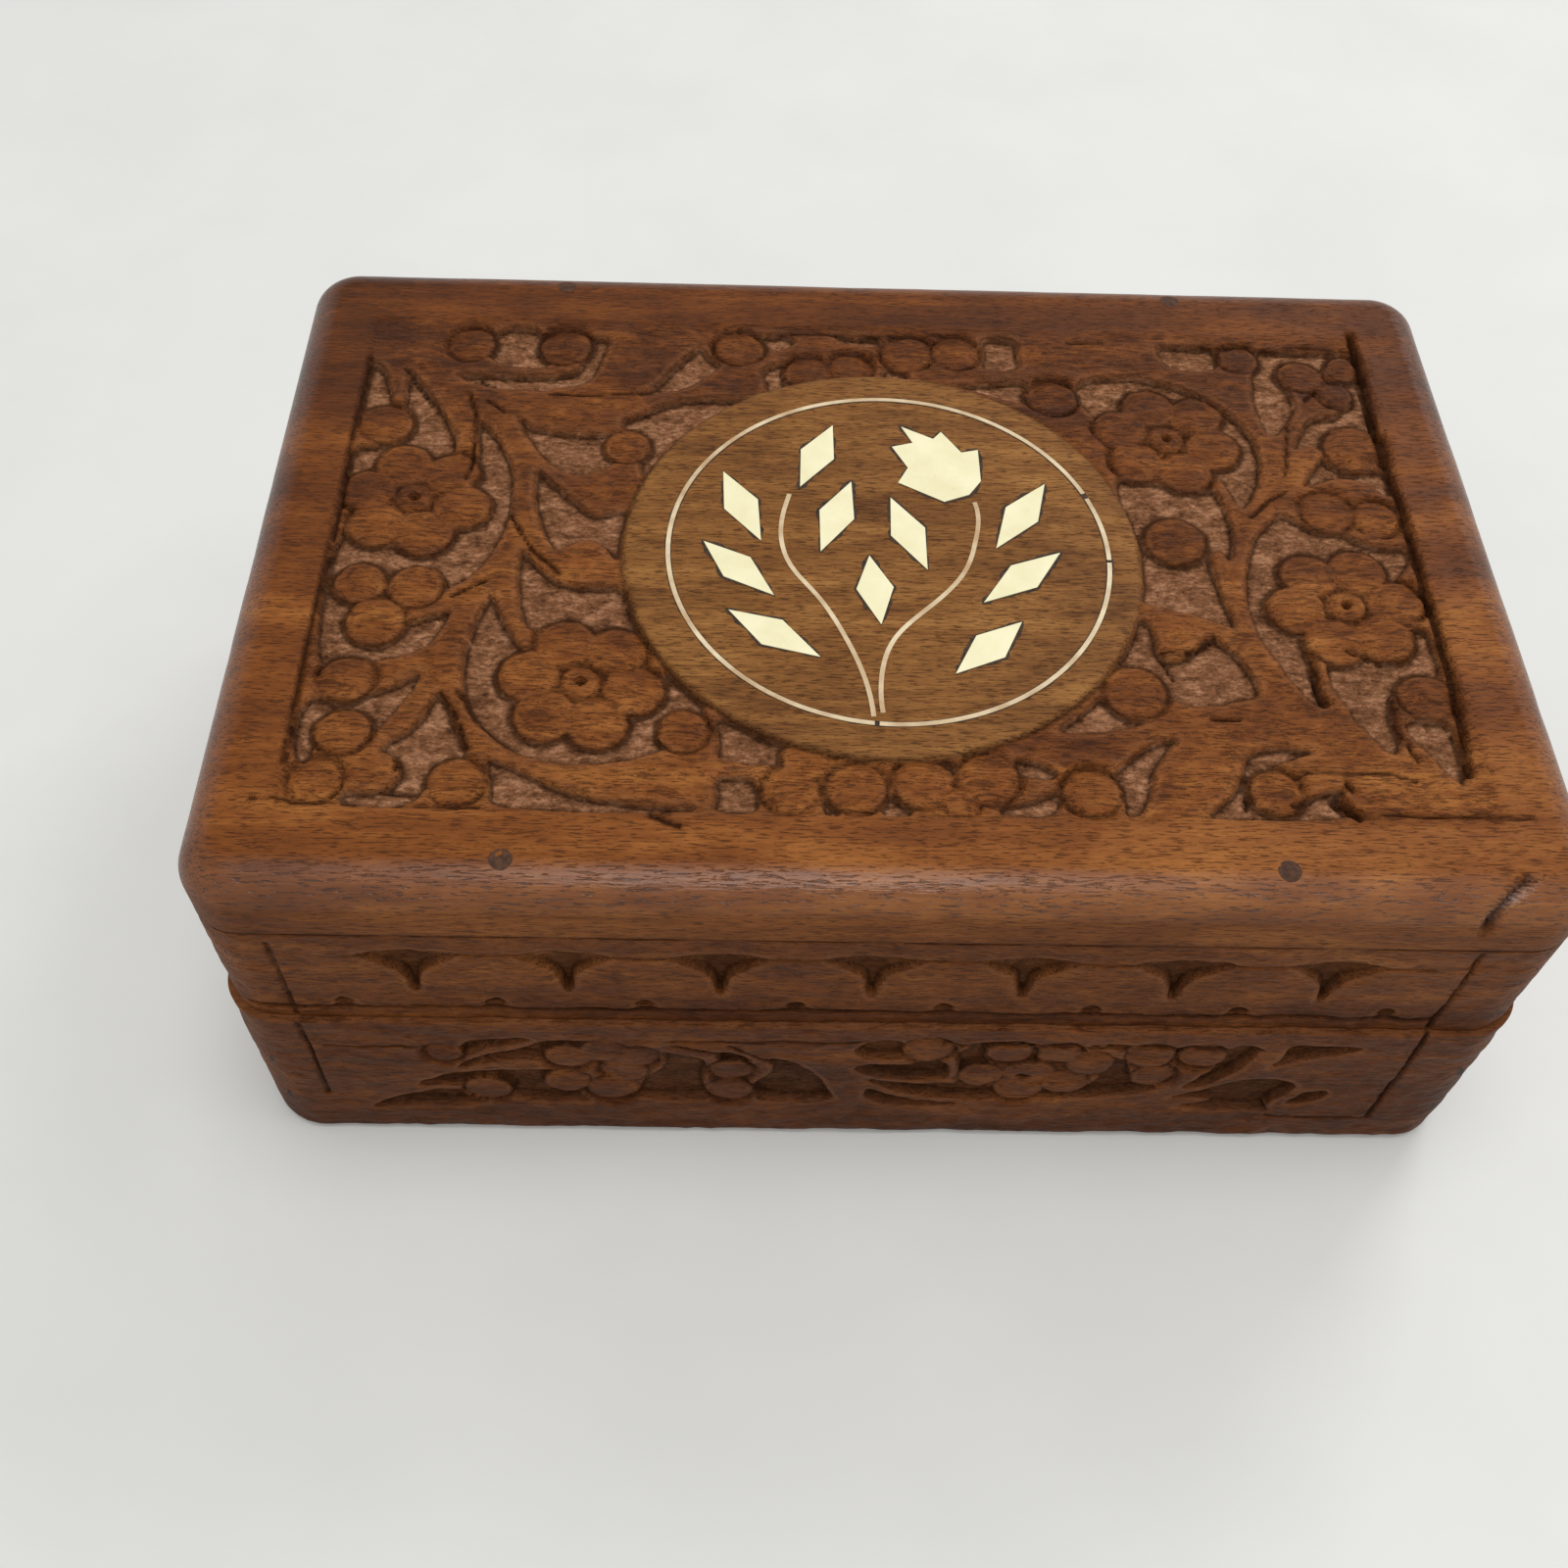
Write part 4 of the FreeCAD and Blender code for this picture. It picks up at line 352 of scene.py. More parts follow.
# Sunk ground and raised buds of the long side panels, counted in parts, then a share of the bud's radius
SIDE_GROUND_SHARES = (
    ((-62.8, -10.6), (-60.0, -7.8), (-56.5, -5.8), (-52.8, -4.6), (-49.6, -4.7), (-48.0, -6.0), (-47.0, -9.2),
     (-52.0, -9.3), (-58.0, -9.5)),
    ((-56.2, -4.1), (-53.6, -1.7), (-50.4, -0.1), (-45.5, 0.9), (-40.0, 1.4), (-38.0, 1.2), (-38.0, -2.0),
     (-37.0, -4.7), (-35.0, -6.6), (-34.0, -8.0), (-43.0, -8.0), (-45.5, -6.0), (-47.0, -4.2), (-50.5, -3.5)),
    ((-50.4, 0.9), (-48.6, 3.3), (-45.4, 5.4), (-41.6, 6.9), (-38.4, 8.8), (-33.0, 8.9), (-30.4, 8.2),
     (-34.0, 6.3), (-37.5, 4.3), (-39.4, 3.1), (-42.0, 3.9), (-45.4, 3.2), (-48.4, 1.5)),
    ((-49.6, 3.8), (-48.9, 8.1), (-46.0, 8.9), (-40.4, 9.5), (-40.4, 8.5), (-43.6, 7.5), (-46.4, 6.1),
     (-48.2, 4.3)),
    ((-25.8, 6.6), (-22.0, 5.1), (-20.2, 4.2), (-19.8, 1.0), (-20.6, -1.6), (-19.8, -5.0), (-19.4, -7.4),
     (-29.0, -7.4), (-28.6, -4.2), (-27.6, -1.2), (-25.4, 1.4), (-24.6, 4.0)),
    ((-19.2, 5.0), (-18.6, 6.4), (-16.4, 6.0), (-14.0, 4.0), (-15.5, 3.5), (-18.0, 2.5)),
    ((-12.9, 5.0), (-10.4, 4.5), (-8.1, 2.5), (-6.1, -0.7), (-4.8, -3.9), (-3.8, -7.4), (-13.8, -7.4),
     (-14.0, -4.8), (-14.3, -1.9), (-12.6, 0.3), (-11.8, 1.9)),
    ((-2.8, 7.2), (-0.6, 9.2), (1.2, 9.7), (3.2, 9.6), (3.4, 7.7), (4.8, 5.2), (2.0, 4.6), (-1.4, 5.0)),
    ((9.4, 5.2), (11.0, 8.3), (12.2, 9.7), (18.8, 9.7), (19.2, 8.4), (16.0, 6.8), (13.4, 6.4), (13.2, 5.0),
     (14.6, 3.2), (12.0, 1.9), (10.6, 0.3), (10.4, 3.2)),
    ((-2.6, 3.0), (2.0, 3.4), (6.0, 4.0), (8.4, 4.2), (9.4, 3.0), (9.6, 0.2), (8.8, -0.6), (5.5, -0.6),
     (1.5, -0.2), (-1.6, 1.0)),
    ((-1.4, -0.2), (3.0, -1.4), (8.0, -1.5), (12.4, -1.3), (14.8, -2.6), (16.8, -5.0), (18.0, -5.9),
     (11.0, -6.1), (6.5, -5.1), (3.0, -3.5), (0.6, -1.9)),
    ((-0.6, -2.8), (2.0, -4.5), (5.0, -6.0), (9.5, -6.9), (15.0, -7.2), (9.0, -7.9), (3.0, -7.8),
     (-0.4, -6.6)),
    ((28.0, 1.4), (29.0, 4.4), (28.4, 6.6), (30.0, 5.4), (31.2, 3.2), (32.4, 0.2), (33.4, -1.8), (35.6, -1.8),
     (37.0, -1.4), (35.4, -2.7), (32.0, -4.0), (27.5, -5.2), (22.5, -5.8), (19.0, -5.6), (20.4, -3.6),
     (22.8, -3.6), (25.6, -2.8), (27.2, -0.8)),
    ((24.4, 9.5), (28.0, 9.6), (31.6, 9.5), (32.0, 7.8), (30.6, 7.2), (29.2, 7.6), (28.4, 8.4)),
    ((35.8, 9.5), (39.6, 9.7), (41.6, 9.4), (40.0, 8.4), (37.4, 7.2), (36.8, 4.8), (36.0, 6.8)),
    ((42.2, 9.7), (45.8, 9.6), (45.6, 6.2), (44.4, 3.0), (42.2, 0.0), (39.8, -1.9), (38.4, -1.9),
     (39.0, -0.6), (40.6, 2.0), (42.0, 5.0), (42.6, 7.4)),
    ((36.8, -5.4), (39.6, -3.6), (43.0, -1.0), (46.8, 0.8), (50.4, 0.8), (52.8, -0.8), (52.8, -3.0),
     (51.0, -5.0), (50.2, -7.0), (51.8, -8.6), (46.0, -8.2), (38.0, -7.6), (41.0, -6.4), (43.6, -5.8),
     (41.6, -5.0)),
    ((52.4, -5.7), (54.0, -3.3), (56.6, -1.9), (57.4, -3.6), (55.6, -5.6), (53.6, -6.5)),
    ((48.8, 9.7), (53.0, 9.7), (59.0, 9.4), (55.6, 7.6), (52.0, 6.2), (49.8, 5.2), (47.6, 3.4), (49.0, 6.4)),
)
SIDE_BUD_SHARES = (
    (-51.2, 5.0, 0.72), (-47.0, -5.0, 0.97), (-36.5, 4.0, 0.91), (-32.2, 5.8, 0.91), (-28.4, 4.3, 0.91),
    (-37.0, -2.6, 0.94), (-31.5, -4.4, 1.06), (-30.0, 0.6, 0.95), (-17.3, -4.4, 0.97), (-17.0, 0.9, 0.88),
    (6.4, 7.0, 1.00), (16.2, 6.4, 0.91), (22.0, 6.4, 0.91), (13.5, 0.3, 0.91), (18.5, -3.2, 1.00),
    (24.0, -1.2, 0.97), (26.2, 4.0, 0.94), (19.2, 1.0, 1.06), (33.0, 6.3, 0.97), (34.4, 1.1, 0.88),
    (39.4, 6.1, 0.94),
)

# Sunk ground of the end panels: one round the middle flower, and one half's sprays that are mirrored
END_MIDDLE_SHARES = ((-0.30, 0.96), (0.30, 0.96), (0.34, 0.00), (0.30, -0.96), (-0.30, -0.96), (-0.34, 0.00))
END_SPRAY_SHARES = (
    ((0.38, -0.92), (0.50, -0.83), (0.65, -0.49), (0.75, 0.09), (0.79, 0.90), (0.71, 0.92), (0.65, 0.21),
     (0.53, -0.37), (0.40, -0.66)),
    ((0.36, -0.37), (0.48, -0.20), (0.58, 0.21), (0.63, 0.90), (0.43, 0.94), (0.38, 0.21)),
    ((0.70, -0.92), (0.85, -0.88), (0.91, -0.25), (0.89, 0.44), (0.84, -0.14), (0.76, -0.60)),
)
END_BUD_SHARES = ((0.50, 0.44, 0.85), (-0.50, 0.44, 0.85))
END_FLOWER_SHARE = 0.80

# Scallop band of the lid: a dart between two scallops and a nick under each, in half widths and heights
DART_SHARES = ((-1.0, 1.0), (-0.6, 0.75), (-0.16, 0.5), (-0.08, 0.0), (0.08, 0.0), (0.16, 0.5), (0.6, 0.75),
               (1.0, 1.0))
NICK_SHARES = ((-1.0, 0.0), (0.0, 1.0), (1.0, 0.0))
LONG_DART_COUNT = 7
SHORT_DART_COUNT = 4
SHORT_LINE_SHARE = 0.55

# Inlaid leaves and flower: places as shares of the ring's radius from the ring's middle
LEAF_SHARES = (
    ((-0.76, 0.48), (-0.58, 0.04)), ((-0.24, 0.81), (-0.40, 0.39)), ((-0.16, 0.43), (-0.31, -0.02)),
    ((0.02, 0.33), (0.17, -0.12)), ((0.75, 0.44), (0.49, 0.02)), ((-0.84, 0.03), (-0.52, -0.29)),
    ((0.78, 0.00), (0.41, -0.31)), ((-0.09, -0.04), (-0.05, -0.45)), ((-0.72, -0.38), (-0.32, -0.64)),
    ((0.57, -0.42), (0.26, -0.72)),
)
LEAF_WAIST_SHARE = 0.48
FLOWER_SHARES = (
    (0.09, 0.81), (0.14, 0.70), (0.04, 0.67), (0.11, 0.53), (0.06, 0.43), (0.27, 0.31), (0.39, 0.36),
    (0.45, 0.45), (0.45, 0.66), (0.37, 0.64), (0.28, 0.78), (0.24, 0.73),
)

# Filler round the leaves and round the ring: how far it reaches in, then its thin and wide width outside
LEAF_FILLER = (0.25, 0.10, 0.60)
RING_FILLER = (INLAY_WIDTH + 0.14, 0.02, 0.22)

# Knife strokes: points in millimetres on the face, then half width and depth
TOP_STROKES = (
    (((-65.3, 31.0), (-65.4, 16.0), (-65.2, 2.0), (-65.5, -14.0), (-65.3, -34.0)), 0.45, 0.5),
    (((64.6, 40.0), (64.7, 31.0), (64.3, 20.0), (64.6, 8.0), (64.4, -10.0), (64.5, -21.0), (63.2, -33.0)),
     0.75, 1.1),
    (((26.0, 37.0), (31.0, 37.1)), 0.35, 0.35),
    (((42.8, 37.2), (47.5, 37.0), (50.2, 37.8)), 0.4, 0.5),
    (((52.0, 36.8), (58.0, 37.3), (64.5, 36.9)), 0.4, 0.5),
    (((50.0, -39.0), (57.0, -38.7), (69.0, -39.0)), 0.35, 0.5),
    (((-68.0, -38.9), (-64.0, -38.8)), 0.3, 0.35),
    (((-64.0, -39.2), (-44.0, -39.5)), 0.3, 0.3),
    (((-51.8, 24.6), (-50.5, 20.3), (-50.2, 12.5), (-50.6, 9.5)), 0.4, 0.5),
    (((-49.5, 23.4), (-47.0, 21.3)), 0.35, 0.35),
    (((-44.6, 3.5), (-43.2, 0.5), (-41.4, -2.6), (-38.0, -6.0)), 0.4, 0.45),
    (((-41.5, 24.6), (-35.0, 24.9), (-30.0, 25.5)), 0.35, 0.35),
    (((-50.8, 27.8), (-48.9, 26.9)), 0.35, 0.4),
    (((50.5, 9.8), (48.5, 8.5), (45.5, 5.3)), 0.35, 0.4),
    (((53.2, 22.8), (51.8, 16.0), (51.2, 13.0)), 0.3, 0.35),
    (((57.9, 28.7), (56.0, 26.7)), 0.4, 0.6),
    (((54.3, 11.8), (57.0, 13.0), (60.5, 13.9)), 0.35, 0.5),
    (((49.0, -15.8), (48.8, -21.5), (49.4, -23.4)), 0.55, 0.9),
    (((56.9, -22.3), (56.7, -27.0), (57.9, -31.5)), 0.4, 0.6),
    (((53.2, -15.3), (57.0, -17.0)), 0.4, 0.5),
    (((36.0, -26.2), (39.0, -26.1)), 0.4, 0.5),
    (((47.9, -36.4), (48.6, -37.4), (49.9, -39.0)), 0.8, 1.6),
    (((49.2, -34.4), (50.0, -35.8)), 0.4, 0.7),
    (((-50.2, -9.9), (-46.4, -7.3)), 0.35, 0.4),
    (((-49.8, -24.0), (-48.0, -26.6), (-46.0, -31.6)), 0.4, 0.5),
    (((-47.9, -23.8), (-45.5, -27.8), (-42.0, -31.2)), 0.35, 0.4),
    (((-54.4, -37.2), (-50.5, -37.6)), 0.4, 0.5),
    (((-53.6, -32.5), (-53.4, -34.8)), 0.35, 0.4),
    (((-26.0, -40.2), (-22.8, -41.6)), 0.6, 0.5),
    (((38.2, -13.8), (36.4, -15.4), (34.0, -16.6), (31.2, -16.0), (32.8, -20.0)), 0.35, 0.4),
    (((-60.5, 29.2), (-58.0, 25.6), (-56.2, 22.8)), 0.35, 0.4),
    (((38.3, -35.8), (38.1, -37.6)), 0.4, 0.6),
    (((43.0, -37.4), (45.2, -36.6)), 0.35, 0.4),
    (((-12.0, 37.9), (2.0, 37.6), (10.0, 38.2)), 0.3, 0.3),
    (((44.2, -33.8), (46.0, -33.1), (54.0, -33.2), (57.0, -34.2)), 0.3, 0.3),
)
ROUND_GOUGE = (((62.2, -50.2), (66.2, -46.4)), 0.6, 0.8)
FRONT_STROKES = (
    (((-66.8, 28.8), (-66.6, 20.0), (-66.8, 10.0)), 0.35, 0.45),
    (((64.1, 29.0), (64.3, 18.0), (64.0, 6.8)), 0.4, 0.55),
    (((51.0, 6.7), (57.0, 6.5), (63.6, 6.6)), 0.35, 0.45),
    (((-65.0, 23.0), (-53.0, 23.3)), 0.3, 0.35),
    (((-24.0, 24.2), (-20.0, 22.9), (-16.5, 20.7), (-13.8, 18.3)), 0.35, 0.45),
    (((-24.0, 25.2), (-12.0, 25.4), (-1.0, 25.6)), 0.3, 0.35),
    (((8.0, 25.1), (20.0, 24.9), (31.0, 24.6), (46.0, 24.6)), 0.35, 0.5),
    (((-17.3, 24.2), (-13.0, 20.6), (-10.2, 17.4)), 0.3, 0.35),
    (((19.3, 24.2), (19.6, 20.2)), 0.3, 0.4),
    (((18.3, 16.6), (18.9, 16.6)), 0.75, 0.9),
)
RAIL_STROKES = (
    (((-66.8, 46.0), (-66.7, 38.0), (-66.8, 29.6)), 0.35, 0.45),
    (((64.1, 47.0), (64.3, 38.0), (64.1, 29.4)), 0.4, 0.55),
)
EDGE_LINES = (
    (((-72.0, 31.5), (-52.0, 31.9), (-30.0, 31.6), (-8.0, 32.0), (14.0, 31.7), (40.0, 31.9), (64.0, 31.6)),
     0.35, 0.5),
    (((-59.0, 43.3), (-46.0, 43.8), (-20.0, 43.5), (5.0, 43.8), (30.0, 43.4), (60.0, 43.5)), 0.35, 0.6),
)


# Curves and distances on a flat face

def smooth_outline(corners):
    """Closed curve drawn in by its corners: a parabola at each, from middle to middle."""
    corners = np.asarray(corners, float)
    before = (np.roll(corners, 1, 0) + corners) / 2
    after = (corners + np.roll(corners, -1, 0)) / 2
    share = (np.arange(CURVE_STEPS) / CURVE_STEPS)[None, :, None]
    curve = ((1 - share) ** 2 * before[:, None] + 2 * share * (1 - share) * corners[:, None]
             + share ** 2 * after[:, None])
    return curve.reshape(-1, 2)


def path_distance(x, y, starts, ends):
    """Distance from each point to the nearest of several straight runs."""
    run_x, run_y = (ends - starts).T
    length = np.maximum(run_x ** 2 + run_y ** 2, 1e-12)
    to_x = x[:, None] - starts[None, :, 0]
    to_y = y[:, None] - starts[None, :, 1]
    share = np.clip((to_x * run_x + to_y * run_y) / length, 0, 1)
    return np.sqrt(((to_x - share * run_x) ** 2 + (to_y - share * run_y) ** 2).min(1))


def inside_distance(x, y, outline):
    """Distance to a closed outline, positive inside it.

    A point is inside if a line from it crosses an odd number of sides.
    """
    ends = np.roll(outline, -1, 0)
    distance = path_distance(x, y, outline, ends)
    low, high = outline[None, :, 1], ends[None, :, 1]
    rise = np.where(high == low, 1e-12, high - low)
    crossing_x = outline[None, :, 0] + (y[:, None] - low) / rise * (ends - outline)[None, :, 0]
    crosses = ((low > y[:, None]) != (high > y[:, None])) & (x[:, None] < crossing_x)
    return np.where(crosses.sum(1) % 2 == 1, distance, -distance)


FAR = 3.0


def near_box(x, y, points):
    """The points of a face that lie in or close round the box of some other points."""
    low, high = points.min(0) - FAR, points.max(0) + FAR
    return np.flatnonzero((x > low[0]) & (x < high[0]) & (y > low[1]) & (y < high[1]))


def ground_reach(x, y, outlines, rounds):
    """How far each point lies inside the sunk ground.

    It is the largest reach into any outline, less the standing rounds, with a little noise, so that the edges
    waver as a knife does.
    """
    reach = np.full(x.shape, -FAR)
    for outline in outlines:
        near = near_box(x, y, outline)
        reach[near] = np.maximum(reach[near], inside_distance(x[near], y[near], outline))
    for middle_x, middle_y, radius in rounds:
        reach = np.minimum(reach, np.hypot(x - middle_x, y - middle_y) - radius)
    return reach + HAND_WOBBLE * layered_noise(x, y, WOBBLE_SIZE, WOBBLE_SEED)


def stroke_marks(x, y, strokes):
    """Depth and darkness of knife strokes: a V groove of ragged width along each path, deepest on it, its
    darkness dirt and painted shade.
    """
    depth = np.zeros(x.shape)
    dark = np.zeros(x.shape)
    for points, half_width, deep in strokes:
        path = np.asarray(points, float)
        near = near_box(x, y, path)
        if len(near) == 0:
            continue
        width = half_width * (1 + RAGGED * layered_noise(x[near], y[near], RAGGED_SIZE, STROKE_SEED))
        closeness = 1 - path_distance(x[near], y[near], path[:-1], path[1:]) / width
        depth[near] = np.maximum(depth[near], deep * np.clip(closeness, 0, 1))
        # Dirt and painted shade in the stroke's groove
        dark[near] = np.maximum(dark[near], np.clip(closeness * STROKE_DIRT_AND_SHADE, 0, 1))
    return depth, dark


def lattice_noise(x, y, cell, seed):
    """Smooth noise from -1 to 1: random heights on a square lattice, blended by an S curve between them."""
    count = 256
    table = np.random.default_rng(seed).uniform(-1, 1, (count, count))
    column = np.floor(x / cell)
    row = np.floor(y / cell)
    across = x / cell - column
    along = y / cell - row
    across = across * across * (3 - 2 * across)
    along = along * along * (3 - 2 * along)
    column = column.astype(int) % count
    row = row.astype(int) % count
    next_column = (column + 1) % count
    next_row = (row + 1) % count
    low = table[column, row] * (1 - across) + table[next_column, row] * across
    high = table[column, next_row] * (1 - across) + table[next_column, next_row] * across
    return low * (1 - along) + high * along


def layered_noise(x, y, cell, seed):
    """Three layers of lattice noise, each half as wide and half as strong as the one before."""
    total = lattice_noise(x, y, cell, seed)
    total = total + lattice_noise(x, y, cell / 2, seed + 1) / 2
    return (total + lattice_noise(x, y, cell / 4, seed + 2) / 4) / 1.75


def snap_to_walls(x, y, reach_of):
    """Move the points next to a carved wall onto its rim or foot, by the steepest way, to keep it crisp."""
    reach = reach_of(x, y)
    near = np.flatnonzero((reach > -WALL_RUN / 2) & (reach < 1.5 * WALL_RUN))
    step = 0.02
    slope_x = (reach_of(x[near] + step, y[near]) - reach[near]) / step
    slope_y = (reach_of(x[near], y[near] + step) - reach[near]) / step
    target = np.where(reach[near] < WALL_RUN / 2, 0, WALL_RUN)
    move = (target - reach[near]) / np.maximum(slope_x ** 2 + slope_y ** 2, 0.3)
    new_x, new_y, new_reach = x.copy(), y.copy(), reach.copy()
    new_x[near] += slope_x * move
    new_y[near] += slope_y * move
    new_reach[near] = target
    return new_x, new_y, new_reach


# Carving of a face: depth under the face and the marks that the finish follows

def spread(shares, half_length, half_height, middle=0.0):
    """Points from their shares of a panel's half sizes."""
    return np.asarray(shares, float) * (half_length, half_height) + (0, middle)


def bud_list(bud_shares, half_length, half_height, middle=0.0):
    """Place and radius of each bud."""
    return [(across * half_length, along * half_height + middle, size * BUD_RADIUS)
            for across, along, size in bud_shares]


def petal_list(x, y, turn, size):
    """Place and radius of the heart and the petals of an open flower."""
    angles = (np.arange(PETAL_COUNT) + turn) * 2 * math.pi / PETAL_COUNT
    orbit = PETAL_ORBIT * size
    radius = PETAL_RADIUS * size
    petals = [(x + orbit * math.cos(angle), y + orbit * math.sin(angle), radius) for angle in angles]
    return [(x, y, radius)] + petals


def dome_relief(x, y, rounds, fall, seed):
    """Depth and darkness of domed rounds: each falls away to its rim by a power of the share of its radius.

    Each dome leans a little its own way, the nearest counts where two meet, and a moat runs round them.
    Creases and moat are darkened with dirt and painted shade.
    """
    lean = np.random.default_rng(seed).uniform(-1, 1, (max(len(rounds), 1), 2))
    best = np.full(x.shape, 9.0)
    outside = np.full(x.shape, 9.0)
    tilt = np.zeros(x.shape)
    for (middle_x, middle_y, radius), (lean_x, lean_y) in zip(rounds, lean):
        off_x, off_y = (x - middle_x) / radius, (y - middle_y) / radius
        share = np.hypot(off_x, off_y)
        nearest = share < best
        tilt = np.where(nearest, DOME_LEAN * (lean_x * off_x + lean_y * off_y), tilt)
        best = np.minimum(best, share)
        outside = np.minimum(outside, (share - 1) * radius)
    within = best <= 1
    uneven = 0.75 + 0.5 * lattice_noise(x, y, MOAT_SIZE, seed + 1)
    moat = np.where(within, 0, uneven * np.exp(-(outside / MOAT_WIDTH) ** 2))
    depth = np.where(within, fall * best ** DOME_POWER + DOME_SINK + tilt, MOAT_DEPTH * moat)
    # Dirt and painted shade in the creases between domes and in the moat round them
    crease = np.clip((best - CREASE_PLACE_SHARE) / CREASE_RUN_SHARE, 0, 1) * CREASE_DIRT_AND_SHADE
    return depth, np.maximum(np.where(within, crease, 0), np.clip(moat * 1.2 - 0.2, 0, CREASE_DIRT_AND_SHADE))


def flower_relief(x, y, flowers, seed):
    """Relief of the petals and the small round heart of each flower, and its eye: a drilled hole. The core
    gets dirt and painted shade, the hole painted shade.
    """
    depth = np.zeros(x.shape)
    dark = np.zeros(x.shape)
    for number, (middle_x, middle_y, turn, size) in enumerate(flowers):
        off = np.hypot(x - middle_x, y - middle_y)
        near = np.flatnonzero(off < (PETAL_ORBIT + PETAL_RADIUS) * size + 2)
        petals = petal_list(middle_x, middle_y, turn, size)
        petals[0] = (middle_x, middle_y, HEART_RADIUS * size)
        fall, shade = dome_relief(x[near], y[near], petals, PETAL_FALL, seed + number)
        core = off[near] < PETAL_ORBIT * size
        # Dirt and painted shade in the core, and painted shade in the eye hole below
        fall = np.where(core, np.minimum(fall, CORE_DEPTH), fall)
        shade = np.where(core, np.minimum(shade, CORE_DIRT_AND_SHADE), shade)
        hole = np.exp(-(off[near] / (EYE_RADIUS * size)) ** 4)
        depth[near] = np.maximum(depth[near], np.maximum(fall, EYE_DEPTH * hole))
        dark[near] = np.maximum(dark[near], np.maximum(shade, hole))
    return depth, dark


def carve_face(x, y, reach, deep, rounds, flowers, strokes, seed):
    """Depth and marks of a carved face from the reach into its ground.

    The ground lies at full depth with scoops of the gouge, and the wall rises evenly over its run. What
    stands is rippled by the knife and worn at its rims, with domed buds and petals, and strokes are cut
    into all of it.
    """
    share = np.clip(reach / WALL_RUN, 0, 1)
    wander = SCOOP_WANDER * lattice_noise(x, y, SCOOP_SIZE, seed + 3)
    scoop = SCOOP_DEPTH * np.abs(np.sin(math.pi * (SCOOP_RATE * y + SCOOP_SLANT * x + wander)))
    rough = GROUND_ROUGH * layered_noise(x, y, ROUGH_SIZE, seed) + scoop
    facet = np.abs(layered_noise(x * FACET_STRETCH, y, FACET_SIZE, seed + 17)) * FACET_DEPTH
    wave = (layered_noise(x, y, RIPPLE_SIZE, seed + 11) + RIPPLE_BASE) * RIPPLE_DEPTH
    fine = FINE_DEPTH * layered_noise(x * FINE_STRETCH, y, FINE_SIZE, seed + 13)
    ripple = wave + fine + facet
    bud, bud_dark = dome_relief(x, y, rounds, BUD_FALL, seed + 19)
    flower, flower_dark = flower_relief(x, y, flowers, seed + 23)
    stroke, stroke_dark = stroke_marks(x, y, strokes)
    rim_fall = RIM_FALL * np.exp(-(np.minimum(reach, 0) / RIM_RUN) ** 2)
    standing = np.maximum(ripple, 0) + np.maximum(np.maximum(bud, flower), rim_fall)
    floor = deep - GROUND_LIFT + rough
    depth = standing * (1 - share) + floor * share + stroke
    # Dirt and painted shade along each wall of the sunk ground, and in the creases, moats and strokes
    wall_dark = WALL_DIRT_AND_SHADE * np.exp(-((reach - WALL_DARK_PLACE) / WALL_DARK_RUN) ** 2)
    relief_dark = np.maximum(bud_dark, flower_dark) * (1 - share)
    dark = np.maximum(np.maximum(wall_dark, stroke_dark), relief_dark)
    edge = np.exp(-((reach + RIM_WEAR_PLACE) / RIM_WEAR_RUN) ** 2) * (reach < 0.05) * (1 - dark)
    return depth, share, dark, edge


# Meshes

def make_piece(name, points, faces, marks, body, replaced):
    """A piece from whole arrays: points in millimetres, faces as lists of rows, marks as point attributes."""
    mesh = bpy.data.meshes.new(name)
    mesh.from_pydata((points * MM).tolist(), [], faces)
    for mark, amount in marks.items():
        attribute = mesh.attributes.new(mark, "FLOAT", "POINT")
        attribute.data.foreach_set("value", amount.astype(np.float32))
    mesh.update()
    mesh.shade_smooth()
    mesh.set_sharp_from_angle(angle=math.radians(55))
    piece = bpy.data.objects.new(name, mesh)
    bpy.context.scene.collection.objects.link(piece)
    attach(piece, body)
    if replaced:
        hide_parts(replaced)
    return piece


def grid_faces(columns, rows, closed_rows):
    """Four-sided faces of a grid, stored column by column, with its rows joined round if asked."""
    column = np.arange(columns - 1)[:, None]
    row = np.arange(rows if closed_rows else rows - 1)[None, :]
    after = (row + 1) % rows
    here, there = column * rows, (column + 1) * rows
    corners = (here + row, there + row, there + after, here + after)
    return np.stack(np.broadcast_arrays(*corners), -1).reshape(-1, 4)


def split_faces(quads, level):
    """Four-sided faces cut into triangles along the diagonal whose two ends differ least in level."""
    first = np.abs(level[quads[:, 0]] - level[quads[:, 2]])
    second = np.abs(level[quads[:, 1]] - level[quads[:, 3]])
    even = (first <= second)[:, None, None]
    one_way = np.stack((quads[:, (0, 1, 2)], quads[:, (0, 2, 3)]), 1)
    other_way = np.stack((quads[:, (0, 1, 3)], quads[:, (1, 2, 3)]), 1)
    return np.where(even, one_way, other_way).reshape(-1, 3)


# Top board

def top_outlines():
    """Ground outlines, standing rounds and flowers of the top panel, in millimetres."""
    width_part, depth_part = TOP_HALF_WIDTH / TOP_WIDTH_PARTS, TOP_HALF_DEPTH / TOP_DEPTH_PARTS
    outlines = [smooth_outline(spread(shares, width_part, depth_part)) for shares in TOP_GROUND_SHARES]
    buds = bud_list(TOP_BUD_SHARES, TOP_HALF_WIDTH, TOP_HALF_DEPTH)
    flowers = [(across * TOP_HALF_WIDTH, along * TOP_HALF_DEPTH, turn, 1.0)
               for across, along, turn in TOP_FLOWER_SHARES]
    return outlines, buds, flowers


